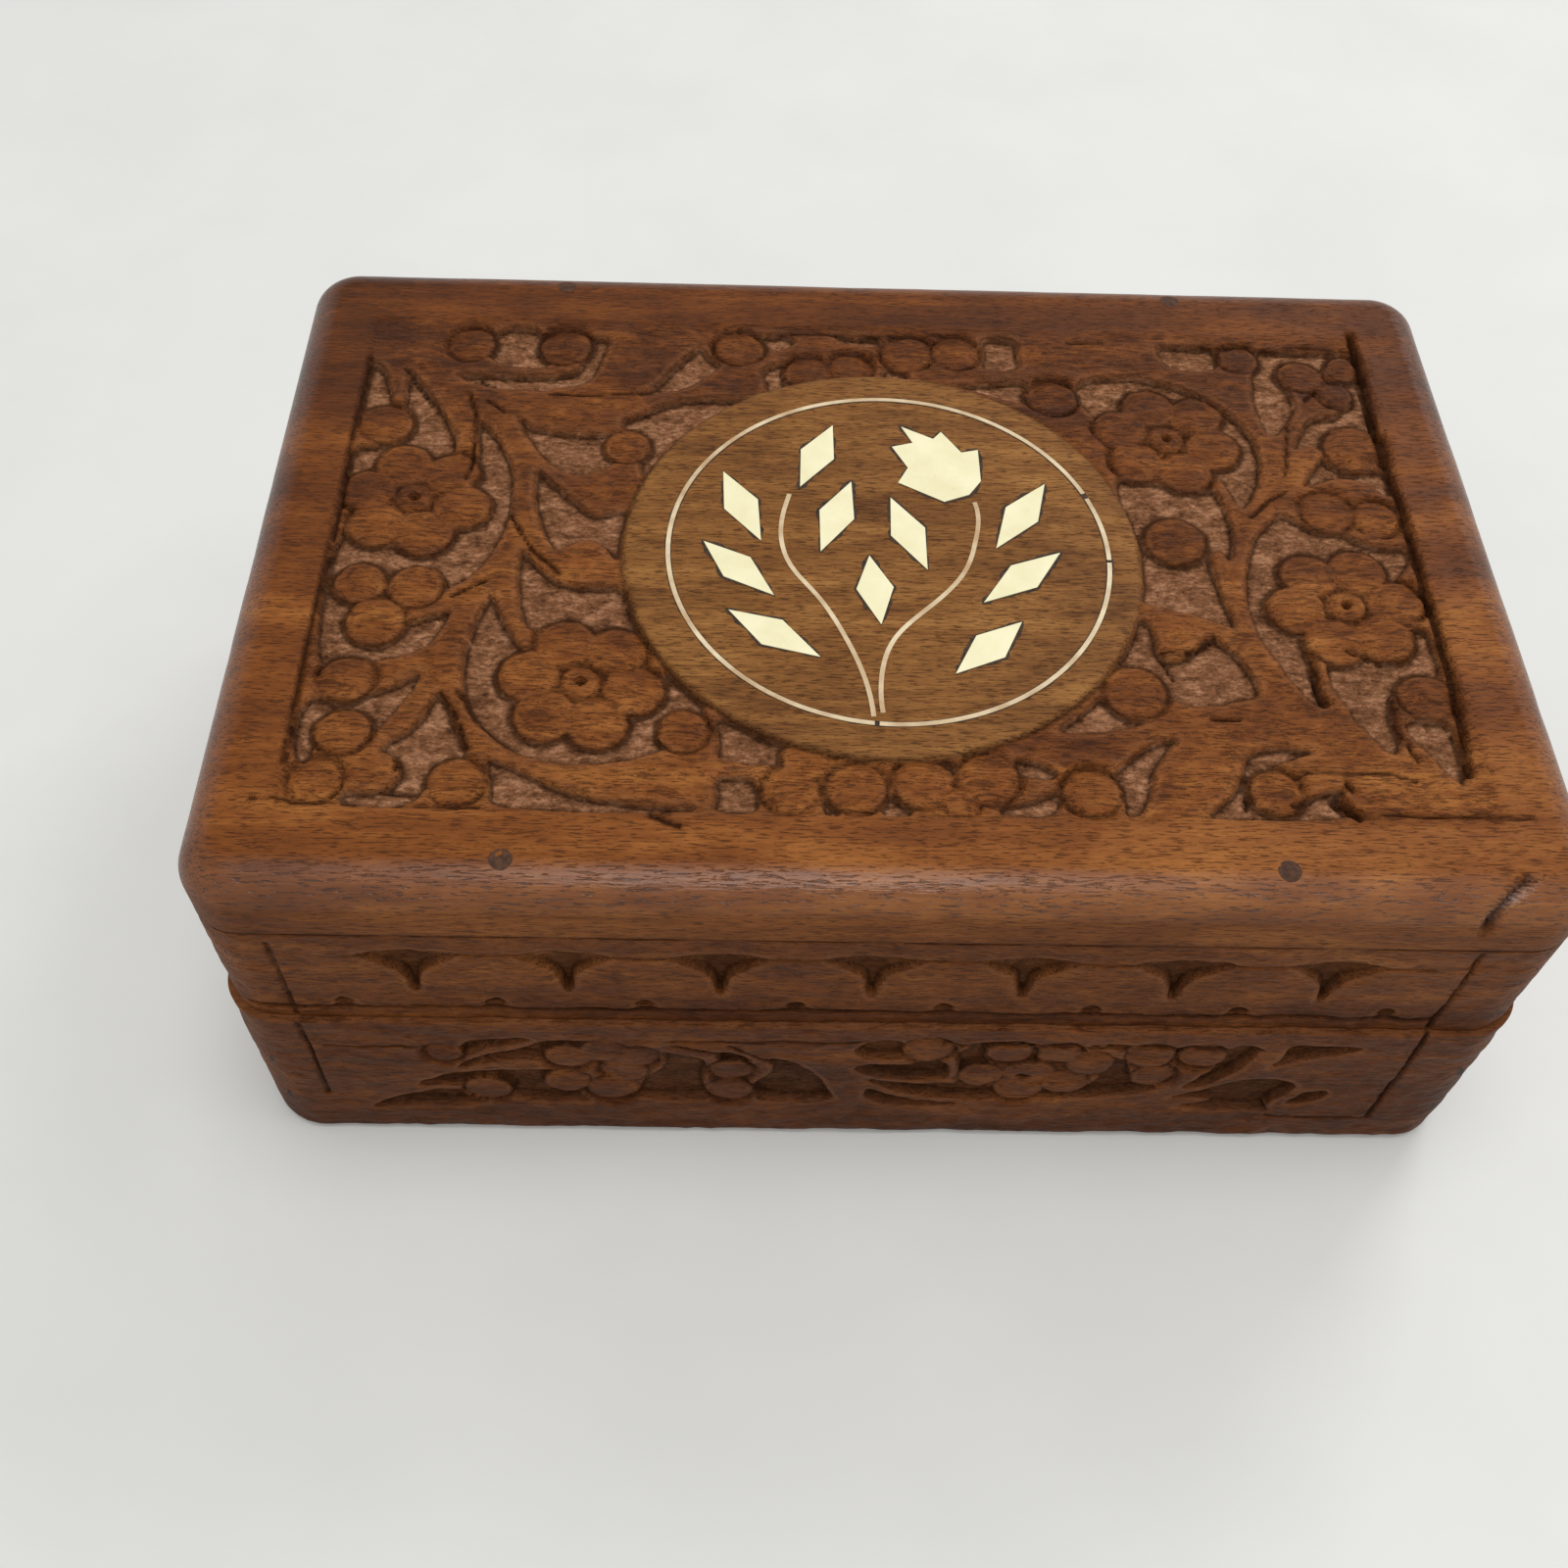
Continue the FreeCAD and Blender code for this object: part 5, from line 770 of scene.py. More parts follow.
def rounded_ring(x, y, half_width, half_depth, radius, start_width, start_depth):
    """Carry a rectangle's rim out to a rounded one: stretch it, then bend its corners round their middles."""
    x = x * half_width / start_width
    y = y * half_depth / start_depth
    over_x = np.maximum(np.abs(x) - (half_width - radius), 0)
    over_y = np.maximum(np.abs(y) - (half_depth - radius), 0)
    over = np.maximum(np.hypot(over_x, over_y), 1e-9)
    bend = np.where((over_x > 0) & (over_y > 0), radius / over, 1)
    x = np.sign(x) * (np.abs(x) - over_x + over_x * bend)
    y = np.sign(y) * (np.abs(y) - over_y + over_y * bend)
    return x, y


GRID_HALF_WIDTH = TOP_HALF_WIDTH + 1.0
GRID_HALF_DEPTH = TOP_HALF_DEPTH + 1.75
UPRIGHT_STEP = 1.6
FOOT_STEPS = (0.55, 0.25)
FOOT_INSET = 0.3
UNDER_INSET = 2.0
GOUGE_RUN = 0.9


def medallion_rim(x, y):
    """Share of the medallion at each point, and strength of the groove round it.

    The groove is a bell curve of the distance from the rim, stronger on its shaded side and uneven by noise;
    it sinks the groove and darkens it with dirt and painted shade.
    """
    off = np.hypot(x, y + MEDALLION_DROP) - MEDALLION_RADIUS
    disc = np.clip(0.5 - off / MEDALLION_BLEND, 0, 1)
    angle = np.arctan2(y + MEDALLION_DROP, x)
    # Painted shade: the groove is stronger and darker towards its shaded side
    strength = 0.55 + 0.45 * np.cos(angle - MEDALLION_SHADED_SIDE)
    strength = strength + 0.25 * lattice_noise(angle * 8, off * 0, 1.0, GROOVE_SEED)
    return disc, np.exp(-(off / MEDALLION_GROOVE_RUN) ** 2) * np.clip(strength, 0.15, 1)


def plain_border(x, y):
    """Share of the plain border at each point: it grows evenly over a short run past the carved panel."""
    past = np.maximum(np.abs(x) - BORDER_HALF_WIDTH, np.abs(y + BORDER_SHIFT) - BORDER_HALF_DEPTH)
    return np.clip(past / BORDER_RUN, 0, 1)


def carved_panel(line_x, line_y):
    """Points, depth and marks of the carved grid of the top board.

    The carving gives way to a nearly plain face on the medallion and the border, and the strokes run on over
    the border.
    """
    x, y = [part.ravel() for part in np.meshgrid(line_x, line_y, indexing="ij")]
    outlines, buds, flowers = top_outlines()
    petals = [petal for flower in flowers for petal in petal_list(*flower)]
    medallion = (0.0, -MEDALLION_DROP, MEDALLION_RADIUS)
    rounds = buds + petals + [medallion]
    x, y, reach = snap_to_walls(x, y, lambda a, b: ground_reach(a, b, outlines, rounds))
    depth, ground, dark, edge = carve_face(x, y, reach, CARVING_DEPTH, buds, flowers, TOP_STROKES, TOP_SEED)
    disc, rim = medallion_rim(x, y)
    calm = np.maximum(disc, plain_border(x, y))
    depth = depth * (1 - calm) + calm * layered_noise(x, y, PLAIN_SIZE, PLAIN_SEED) * PLAIN_DEPTH
    stroke, stroke_dark = stroke_marks(x, y, TOP_STROKES)
    depth = np.maximum(depth, stroke * (1 - disc)) + rim * MEDALLION_GROOVE
    # The medallion groove's darkness is dirt and painted shade
    dark = np.maximum(np.maximum(dark * (1 - calm), stroke_dark * (1 - disc)), rim * GROOVE_DIRT_AND_SHADE)
    marks = {
        "ground": ground * (1 - calm),
        "cut": dark,
        "edge": edge * (1 - calm),
        "medallion": disc,
        "deep": PATCH_SHADE * layered_noise(x, y, PATCH_SIZE, PATCH_SEED) * (1 - calm),
        "worked": 1 - calm,
        "raw": np.zeros(len(x)),
        "polish": np.zeros(len(x)),
    }
    return np.stack((x, y, TOP_LEVEL - np.maximum(depth, 0)), -1), depth, marks


def top_rings():
    """Half width, half depth, corner radius, drop and turn of each ring round the carved grid.

    The rings run flat to the rounded edge, over it by a quarter circle, down the side and in underneath.
    """
    edge_width, edge_depth = LID_HALF_WIDTH - TOP_ROUND, LID_HALF_DEPTH - TOP_ROUND
    edge_radius = LID_CORNER_RADIUS - TOP_ROUND
    rings = [(GRID_HALF_WIDTH + (edge_width - GRID_HALF_WIDTH) * share,
              GRID_HALF_DEPTH + (edge_depth - GRID_HALF_DEPTH) * share, edge_radius * share, 0.0, 0.0)
             for share in np.linspace(0, 1, FLAT_RINGS + 1)[1:]]
    for turn in np.radians(np.linspace(0, 90, ROUND_RINGS + 1)[1:]):
        out = TOP_ROUND * math.sin(turn)
        drop = TOP_ROUND * (1 - math.cos(turn))
        rings.append((edge_width + out, edge_depth + out, edge_radius + out, drop, turn))
    upright = [(TOP_ROUND + step * UPRIGHT_STEP, 0) for step in (1, 2)]
    upright += [(TOP_FOOT - step, 0) for step in FOOT_STEPS]
    for drop, inset in upright + [(TOP_FOOT, FOOT_INSET), (TOP_FOOT, UNDER_INSET)]:
        rings.append((LID_HALF_WIDTH - inset, LID_HALF_DEPTH - inset, LID_CORNER_RADIUS - inset, drop,
                      math.pi / 2))
    return rings


def ring_surface(ring, start_x, start_y):
    """Points and darkness of a ring: the grid's rim carried out to it, then sunk along its normal.

    It is sunk by the strokes that reach over the edge and by a slow wave; the strokes carry dirt and painted
    shade, and dirt lies along its foot.
    """
    half_width, half_depth, radius, drop, turn = ring
    x, y = rounded_ring(start_x, start_y, half_width, half_depth, radius, GRID_HALF_WIDTH, GRID_HALF_DEPTH)
    run_x = np.roll(x, -1) - np.roll(x, 1)
    run_y = np.roll(y, -1) - np.roll(y, 1)
    length = np.maximum(np.hypot(run_x, run_y), 1e-9)
    gouge, gouge_dark = stroke_marks(x, y, (ROUND_GOUGE,) + TOP_STROKES)
    upper = np.clip((TOP_ROUND + GOUGE_RUN - drop) / GOUGE_RUN, 0, 1)
    gouge, gouge_dark = gouge * upper, gouge_dark * upper
    wave = layered_noise(x + drop * 3, y - drop * 2, EDGE_WAVE_SIZE, EDGE_WAVE_SEED)
    wave = wave * EDGE_WAVE_DEPTH * math.sin(turn)
    sink = gouge + np.maximum(wave, 0)
    points = np.stack((x - run_y / length * sink * math.sin(turn), y + run_x / length * sink * math.sin(turn),
                       TOP_LEVEL - drop - sink * math.cos(turn)), -1)
    return points, np.maximum(gouge_dark, math.exp(-((TOP_FOOT - drop) / FOOT_DIRT_RUN) ** 2))


def top_shade(points):
    """Shade of the top board: it deepens evenly towards the back, and again close to the left end."""
    back = np.clip((points[:, 1] - BACK_SHADE_START) / BACK_SHADE_RUN, *BACK_SHADE_LIMITS)
    left = np.clip((-points[:, 0] - LEFT_SHADE_START) / LEFT_SHADE_RUN, *LEFT_SHADE_LIMITS)
    return back + left


def carved_top():
    """The top board: a carved grid, rings out over the rounded edge and down, and a flat underside.

    It is bare underneath and polished along its rounded edge.
    """
    line_x = np.linspace(-GRID_HALF_WIDTH, GRID_HALF_WIDTH, int(2 * GRID_HALF_WIDTH / TOP_STEP) + 1)
    line_y = np.linspace(-GRID_HALF_DEPTH, GRID_HALF_DEPTH, int(2 * GRID_HALF_DEPTH / TOP_STEP) + 1)
    columns, rows = len(line_x), len(line_y)
    panel, depth, panel_marks = carved_panel(line_x, line_y)
    index = np.arange(columns * rows).reshape(columns, rows)
    rim = np.concatenate((index[:-1, 0], index[-1, :-1], index[:0:-1, -1], index[0, :0:-1]))
    count = len(rim)
    rings = top_rings()
    ring_points, ring_dark = zip(*[ring_surface(ring, panel[rim, 0], panel[rim, 1]) for ring in rings])
    points = np.concatenate((panel,) + ring_points)
    faces = split_faces(grid_faces(columns, rows, False), depth).tolist()
    previous = rim
    for number in range(len(rings)):
        current = columns * rows + number * count + np.arange(count)
        faces += np.stack((previous, current, np.roll(current, -1), np.roll(previous, -1)), -1).tolist()
        previous = current
    faces.append(previous[::-1].tolist())
    plain = np.zeros(len(rings) * count)
    ring_marks = {
        "cut": np.concatenate(ring_dark[:-1] + (np.zeros(count),)),
        "raw": np.concatenate((plain[count:], np.ones(count))),
        "polish": np.concatenate([np.full(count, math.sin(2 * turn)) for *_, turn in rings]),
    }
    marks = {mark: np.concatenate((amount, ring_marks.get(mark, plain)))
             for mark, amount in panel_marks.items()}
    marks["deep"] = top_shade(points) + marks["deep"]
    return make_piece("carved_top", points, faces, marks, "lid", "lid_top_board")


# Side boards

SIDES = {
    "front": ((1, 0), (0, -1)),
    "right": ((0, 1), (1, 0)),
    "back": ((-1, 0), (0, 1)),
    "left": ((0, -1), (-1, 0)),
}


def straight_stations(half_length):
    """Stations along a board with square ends.

    Each has its place along the face, its distance in from it, the two parts of its inward direction, and its
    place along the inside.
    """
    along = np.linspace(-half_length, half_length, int(2 * half_length / SIDE_STEP) + 1)
    still = np.zeros(len(along))
    return along, still, still, still + 1, along


def rounded_stations(half_length, radius, wall, extra=()):
    """The same along a board with round corners: the end, a quarter circle, the face and the same again.

    extra names further places along the face that get a station.
    """
    turn = np.linspace(math.pi / 2, 0, int(radius * math.pi / 2 / SIDE_STEP))
    straight = half_length - radius
    corner_along = -straight - radius * np.sin(turn)
    corner_in = radius - radius * np.cos(turn)
    end_in = np.array([wall - END_GAP, (wall + radius) / 2])
    left_along = np.concatenate((np.full(2, -half_length), corner_along))
    left_in = np.concatenate((end_in, corner_in))
    left_turn = np.concatenate((np.full(2, math.pi / 2), turn))
    even = np.linspace(-straight, straight, int(2 * straight / SIDE_STEP) + 1)[1:-1]
    middle = np.sort(np.concatenate((even, extra)))
    still = np.zeros(len(middle))
    along = np.concatenate((left_along, middle, -left_along[::-1]))
    inward = np.concatenate((left_in, still, left_in[::-1]))
    lean = np.concatenate((np.sin(left_turn), still, -np.sin(left_turn[::-1])))
    straight_in = np.concatenate((np.cos(left_turn), still + 1, np.cos(left_turn[::-1])))
    inner_left = np.linspace(FOOT_ROUND - half_length, -straight, len(left_along))
    inner_along = np.concatenate((inner_left, middle, -inner_left[::-1]))
    return along, inward, lean, straight_in, inner_along


def side_levels(low, high, foot, foot_steps):
    """Heights up a face and how far each is drawn in: a rounded foot, even steps, a small round on top."""
    def quarter(radius, steps):
        """Rise and draw of a quarter circle, from its foot."""
        turn = np.linspace(0, math.pi / 2, steps)
        return radius * (1 - np.cos(turn)), radius * (1 - np.sin(turn))
    rise, draw = quarter(foot, foot_steps)
    top_rise, top_draw = quarter(ARRIS, 3)
    start, end = low + foot, high - ARRIS
    middle = np.linspace(start, end, int((end - start) / SIDE_STEP) + 1)[1:-1]
    levels = np.concatenate((low + rise, middle, high - top_rise[::-1]))
    drawn = np.concatenate((draw, np.zeros(len(middle)), top_draw[::-1]))
    return levels, drawn


def side_board(name, side, face, stations, limits, levels, drawn, carving, inner, body, replaced):
    """A board carried along its stations: up the carved face, over the top, down the inside and back under.

    limits gives the face's lowest and highest level for a distance in, carving the depth and marks of places
    on the face, and inner the points of the section behind it.
    """
    along, inward, lean, straight_in, inner_along = stations
    columns, rows = len(along), len(levels)
    place = np.repeat(along, rows)
    low, high = limits(inward)
    share = (levels - levels[0]) / (levels[-1] - levels[0])
    height = (low[:, None] + (high - low)[:, None] * share).ravel()
    flat = np.repeat(straight_in > 0.999, rows)
    new_place, new_height, depth, marks = carving(place, height)
    keep = flat & (np.tile(drawn, columns) == 0)
    place = np.where(keep, new_place, place)
    height = np.where(keep, new_height, height)
    sink = np.maximum(depth, 0) + np.tile(drawn, columns)
    face_along = place + np.repeat(lean, rows) * sink
    face_in = np.repeat(inward, rows) + np.repeat(straight_in, rows) * sink
    outer = np.stack((face_along, face_in, height), -1).reshape(columns, rows, 3)
    behind = inner(inner_along, inward)
    section = np.concatenate((outer, behind), 1)
    total = section.shape[1]
    run, out = SIDES[side]
    local = section.reshape(-1, 3)
    points = np.stack((local[:, 0] * run[0] + (face - local[:, 1]) * out[0],
                       local[:, 0] * run[1] + (face - local[:, 1]) * out[1], local[:, 2]), -1)
    level = np.zeros((columns, total))
    level[:, :rows] = sink.reshape(columns, rows)
    faces = split_faces(grid_faces(columns, total, True), level.ravel()).tolist()
    faces.append(list(range(total)))
    faces.append(list(range(columns * total - 1, (columns - 1) * total - 1, -1)))
    full = {}
    for mark, amount in marks.items():
        rest = np.zeros((columns, behind.shape[1]))
        full[mark] = np.concatenate((amount.reshape(columns, rows), rest), 1).ravel()
    raw = np.zeros((columns, total))
    raw[:, rows:] = 1
    full["raw"] = raw.ravel()
    return make_piece(name, points, faces, full, body, replaced)


def columns_of(section, along):
    """The same section points for every station: pairs of inward distance and height."""
    points = np.zeros((len(along), len(section), 3))
    points[:, :, 0] = along[:, None]
    points[:, :, 1:] = np.asarray(section, float)[None]
    return points


LEDGE = PANEL_THICKNESS + PANEL_GAP
BEVEL_CLEARANCE = 0.07
SECTION_STEP = 0.01
BEVEL_IN = BASE_HALF_DEPTH - PIVOT_PLACE + BEVEL_CLEARANCE
LID_BEVEL_IN = LID_HALF_DEPTH - PIVOT_PLACE + BEVEL_CLEARANCE
BEVEL_LOW = BASE_HEIGHT - BEVEL_IN * BEVEL_SLOPE
BEVEL_HIGH = BASE_HEIGHT + LID_BEVEL_IN * BEVEL_SLOPE


def base_limits(inward):
    """The whole height of the base at every station."""
    return np.zeros(len(inward)), np.full(len(inward), BASE_HEIGHT)


def base_back_limits(inward):
    """The height of the back board's face, which ends where the bevel under the hinge line begins."""
    return np.zeros(len(inward)), np.minimum(BASE_HEIGHT, BEVEL_LOW + inward * BEVEL_SLOPE)


def rail_limits(inward):
    """The whole height of a lid rail at every station."""
    return np.full(len(inward), BASE_HEIGHT), np.full(len(inward), RAIL_TOP)


def rail_back_limits(inward):
    """The height of the back rail's face, which begins where the bevel above the hinge line ends."""
    return np.maximum(BASE_HEIGHT, BEVEL_HIGH - inward * BEVEL_SLOPE), np.full(len(inward), RAIL_TOP)


def hinge_room(along):
    """Which stations lie in the room of a hinge."""
    return np.abs(np.abs(along) - HINGE_MIDDLE) < HINGE_HALF_ROOM


def kept_behind(points, inward, way):
    """Keep the points of a section behind its face where the face runs round a corner, a small step apart.

    way is 1 for a section that runs inwards and -1 for one that runs outwards.
    """
    order = np.arange(points.shape[1])[::way]
    points[:, :, 1] = np.maximum(points[:, :, 1], inward[:, None] + SECTION_STEP * (order + 1))
    return points


def rebated(along, rebate_reach, rebate_half_length):
    """The inside of a base board: down to the rebate of the bottom panel, round it and under."""
    shared = ((BASE_WALL, BASE_HEIGHT), (BASE_WALL, LEDGE))
    plain = columns_of(shared + ((BASE_WALL, LEDGE - 0.3), (BASE_WALL, 0)), along)
    cut = columns_of(shared + ((rebate_reach, LEDGE), (rebate_reach, 0)), along)
    return np.where((np.abs(along) < rebate_half_length)[:, None, None], cut, plain)


def base_behind(rebate_reach, rebate_half_length):
    """A function that gives the section behind a base board's face."""
    def behind(along, inward):
        """The rebated inside, the same round a corner."""
        return rebated(along, rebate_reach, rebate_half_length)
    return behind


def base_back_behind(rebate_reach, rebate_half_length):
    """A function that gives the section behind the back board's face.

    It runs from the bevel over the rooms of the hinge leaves, then down the inside as the others do. A plain
    stretch has as many points as a room.
    """
    floor, seat = BASE_HEIGHT - KNUCKLE_ROOM, BASE_HEIGHT - LEAF_SINK
    start, mid, end = (floor - BEVEL_LOW) / BEVEL_SLOPE, BEVEL_IN + KNUCKLE_ROOM, BEVEL_IN + LEAF_REACH
    steps = (BEVEL_IN, BEVEL_IN + 0.7, mid, end - 0.4, end)

    def behind(along, inward):
        """Rooms where the hinges are and a straight top elsewhere, then the rebated inside."""
        plain = columns_of([(place, BASE_HEIGHT) for place in steps], along)
        room = columns_of(((start, floor), (mid, floor), (mid, seat), (end, seat), (end, BASE_HEIGHT)), along)
        edge = kept_behind(np.where(hinge_room(along)[:, None, None], room, plain), inward, 1)
        return np.concatenate((edge, rebated(along, rebate_reach, rebate_half_length)), 1)
    return behind


def rail_behind(along, inward):
    """Section behind a lid rail's face: over the top, down the inside and back under."""
    return columns_of(((RAIL_WALL, RAIL_TOP), (RAIL_WALL, BASE_HEIGHT)), along)


def rail_back_behind(along, inward):
    """Section behind the back rail's face: as the others, then the hinge leaves' rooms and the bevel."""
    ceiling, seat = BASE_HEIGHT + KNUCKLE_ROOM, BASE_HEIGHT + LEAF_SINK
    start = (BEVEL_HIGH - ceiling) / BEVEL_SLOPE
    mid, end = LID_BEVEL_IN + KNUCKLE_ROOM, LID_BEVEL_IN + LEAF_REACH
    steps = (end, end - 0.2, mid, LID_BEVEL_IN + 0.7, LID_BEVEL_IN)
    plain = columns_of([(place, BASE_HEIGHT) for place in steps], along)
    room = columns_of(((end, BASE_HEIGHT), (end, seat), (mid, seat), (mid, ceiling), (start, ceiling)), along)
    edge = kept_behind(np.where(hinge_room(along)[:, None, None], room, plain), inward, -1)
    return np.concatenate((rail_behind(along, inward), edge), 1)


def side_carving(outlines, rounds, flowers, strokes, seed, fade=None):
    """A function that carves a side face from its ground outlines, rounds, flowers and strokes.

    A rail has fade, which makes its cuts shallower by place and height, and dirt at its joints. A base board
    has none, and its top edge is worn in chips.
    """
    petals = [petal for flower in flowers for petal in petal_list(*flower)]

    def carving(place, height):
        """Places moved onto the carved walls, with the depth and marks there."""
        new_place, new_height, reach = snap_to_walls(
            place, height, lambda a, b: ground_reach(a, b, outlines, rounds + petals))
        depth, ground, dark, edge = carve_face(
            new_place, new_height, reach, SIDE_CARVING_DEPTH, rounds, flowers, strokes, seed)
        if fade:
            share = fade(new_place, new_height)
            depth, ground, dark = depth * share, ground * share, dark * share
            for joint in (BASE_HEIGHT, RAIL_TOP):
                dark = np.maximum(dark, JOINT_DIRT * np.exp(-((height - joint) / JOINT_DIRT_RUN) ** 2))
        else:
            chips = np.clip(0.6 + layered_noise(place, height, 1.6, seed + 29), 0, 1)
            edge = np.maximum(edge, chips * np.exp(-((height - BASE_HEIGHT) / CHIP_RUN) ** 2))
        # The tone darkens evenly with height towards the foot
        deep = FOOT_SHADE - SHADE_FALL * height / RAIL_TOP
        # Painted shade on the sides' sunk ground: less of its pale colour and a share of dark
        marks = {"ground": ground * SIDE_GROUND_PALE_IN_SHADE, "cut": np.maximum(dark, ground * SIDE_GROUND_SHADE),
                 "edge": edge, "deep": deep, "worked": np.full(len(deep), SIDE_KNIFE_WORK)}
        return new_place, new_height, depth, marks
    return carving


def long_side_carving(side):
    """Carving of the front or the back board of the base."""
    length_part, height_part = SIDE_HALF_LENGTH / SIDE_LENGTH_PARTS, SIDE_HALF_HEIGHT / SIDE_HEIGHT_PARTS
    outlines = [smooth_outline(spread(shares, length_part, height_part, SIDE_MIDDLE))
                for shares in SIDE_GROUND_SHARES]
    buds = bud_list(SIDE_BUD_SHARES, length_part, height_part, SIDE_MIDDLE)
    return side_carving(outlines, buds, [], FRONT_STROKES, BASE_SEEDS[side])


def end_carving(side):
    """Carving of an end board: a flower between mirrored sprays."""
    drawn = [(END_MIDDLE_SHARES, 1)] + [(shares, way) for shares in END_SPRAY_SHARES for way in (1, -1)]
    outlines = [smooth_outline(spread(shares, way * END_HALF_LENGTH, SIDE_HALF_HEIGHT, SIDE_MIDDLE))
                for shares, way in drawn]
    buds = bud_list(END_BUD_SHARES, END_HALF_LENGTH, SIDE_HALF_HEIGHT, SIDE_MIDDLE)
    flowers = [(0.0, SIDE_MIDDLE, 0.0, END_FLOWER_SHARE)]
    return side_carving(outlines, buds, flowers, (), BASE_SEEDS[side])


def rail_carving(side, count, shift):
    """Carving of a lid rail: darts between scallops, nicks on the line below, and the lines of the band."""
    outlines = []
    for shares, size, level, total in ((DART_SHARES, (DART_HALF_WIDTH, DART_HEIGHT), DART_FOOT, count),
                                       (NICK_SHARES, (NICK_HALF_WIDTH, NICK_HEIGHT), NICK_LEVEL, count + 1)):
        for number in range(total):
            middle = (number - (total - 1) / 2) * DART_PITCH - shift
            outlines.append(smooth_outline(np.asarray(shares) * size + (middle, level)))
    long_side = count == LONG_DART_COUNT
    reach = 1.0 if long_side else SHORT_LINE_SHARE
    lines = [([(across * reach, level) for across, level in points], half_width, deep)
             for points, half_width, deep in EDGE_LINES]
    strokes = lines + (list(RAIL_STROKES) if long_side else [])

    def fade(place, height):
        """Deep at the middle of a dart, shallow where its flares run out, and full below the darts."""
        half = DART_PITCH / 2
        off = np.abs((place + shift + (count - 1) * half + half) % DART_PITCH - half)
        shallow = np.clip(DART_FADE - off / DART_HALF_WIDTH, DART_LEAST, 1)
        return np.where(height < DART_FOOT - DART_ROOM, 1.0, shallow)
    return side_carving(outlines, [], [], strokes, RAIL_SEEDS[side], fade)


HINGE_EDGES = [sign * (HINGE_MIDDLE + end * HINGE_HALF_ROOM) + step
               for sign in (-1, 1) for end in (-1, 1) for step in (-0.02, 0.02)]


def base_boards():
    """The four carved boards of the base."""
    levels, drawn = side_levels(0.0, BASE_HEIGHT, FOOT_ROUND, 6)
    rebate_reach = BASE_HALF_DEPTH - PANEL_HALF_DEPTH - PANEL_GAP
    rebate_length = PANEL_HALF_WIDTH + PANEL_GAP
    made = []
    for side, limits, behind in (("front", base_limits, base_behind),
                                 ("back", base_back_limits, base_back_behind)):
        stations = rounded_stations(BASE_HALF_WIDTH, CORNER_RADIUS, BASE_WALL, HINGE_EDGES)
        made.append(side_board(
            "carved_base_" + side, side, BASE_HALF_DEPTH, stations, limits, levels, drawn,
            long_side_carving(side), behind(rebate_reach, rebate_length), "base", "base_" + side))
    for side in ("left", "right"):
        stations = straight_stations(INNER_HALF_DEPTH)
        made.append(side_board(
            "carved_base_" + side, side, BASE_HALF_WIDTH, stations, base_limits, levels, drawn,
            end_carving(side), base_behind(rebate_reach, BASE_HALF_DEPTH), "base", "base_%s_end" % side))
    return made


def lid_rails():
    """The four rails of the lid."""
    levels, drawn = side_levels(BASE_HEIGHT, RAIL_TOP, ARRIS, 3)
    made = []
    for side, limits, behind in (("front", rail_limits, rail_behind),
                                 ("back", rail_back_limits, rail_back_behind)):
        stations = rounded_stations(LID_HALF_WIDTH, LID_CORNER_RADIUS, RAIL_WALL, HINGE_EDGES)
        made.append(side_board(
            "scalloped_rail_" + side, side, LID_HALF_DEPTH, stations, limits, levels, drawn,
            rail_carving(side, LONG_DART_COUNT, DART_SHIFT), behind, "lid", "lid_%s_rail" % side))
    for side in ("left", "right"):
        stations = straight_stations(INNER_HALF_DEPTH)
        made.append(side_board(
            "scalloped_rail_" + side, side, LID_HALF_WIDTH, stations, rail_limits, levels, drawn,
            rail_carving(side, SHORT_DART_COUNT, 0.0), rail_behind, "lid", "lid_%s_rail" % side))
    return made


# Pegs and the dark filler round the inlay

def peg_heads():
    """Pegs: discs that follow the board's top and its rounded edge, a hair proud, each with a shank."""
    peg_high = corners_of("top_pegs")[1]
    peg_x, peg_y = peg_high[0] - PEG_RADIUS, peg_high[1] - PEG_RADIUS
    turn = np.arange(PEG_SIDES) * 2 * math.pi / PEG_SIDES
    radii = PEG_RADIUS * np.linspace(0.15, 1, PEG_RINGS)
    points, faces = [], []
    for middle_x in (-peg_x, peg_x):
        for middle_y in (-peg_y, peg_y):
            x = middle_x + np.outer(radii, np.cos(turn))
            y = middle_y + np.outer(radii, np.sin(turn))
            over = np.maximum(np.abs(y) - (LID_HALF_DEPTH - TOP_ROUND), 0)
            fall = TOP_ROUND - np.sqrt(TOP_ROUND ** 2 - over ** 2)
            z = TOP_LEVEL + PEG_PROUD - fall + PEG_UNEVEN * lattice_noise(x, y, 0.5, PEG_SEED)
            rings = np.stack((x, y, z), -1)
            shank = rings[-1:].copy()
            shank[:, :, 2] = TOP_LEVEL - PEG_LENGTH
            start = sum(len(part) for part in points)
            points.append(np.concatenate((rings, shank)).reshape(-1, 3))
            count = len(turn)
            faces += (start + grid_faces(len(radii) + 1, count, True)).tolist()
            faces.append((start + np.arange(count)).tolist())
            faces.append((start + len(radii) * count + np.arange(count)[::-1]).tolist())
    return make_piece("peg_heads", np.concatenate(points), faces, {}, "lid", "top_pegs")


def even_points(path, count):
    """Points spaced evenly along a closed path of straight runs."""
    path = np.concatenate((path, path[:1]))
    length = np.concatenate(([0], np.cumsum(np.hypot(*np.diff(path, axis=0).T))))
    places = np.linspace(0, length[-1], count, endpoint=False)
    return np.stack([np.interp(places, length, path[:, axis]) for axis in (0, 1)], -1)


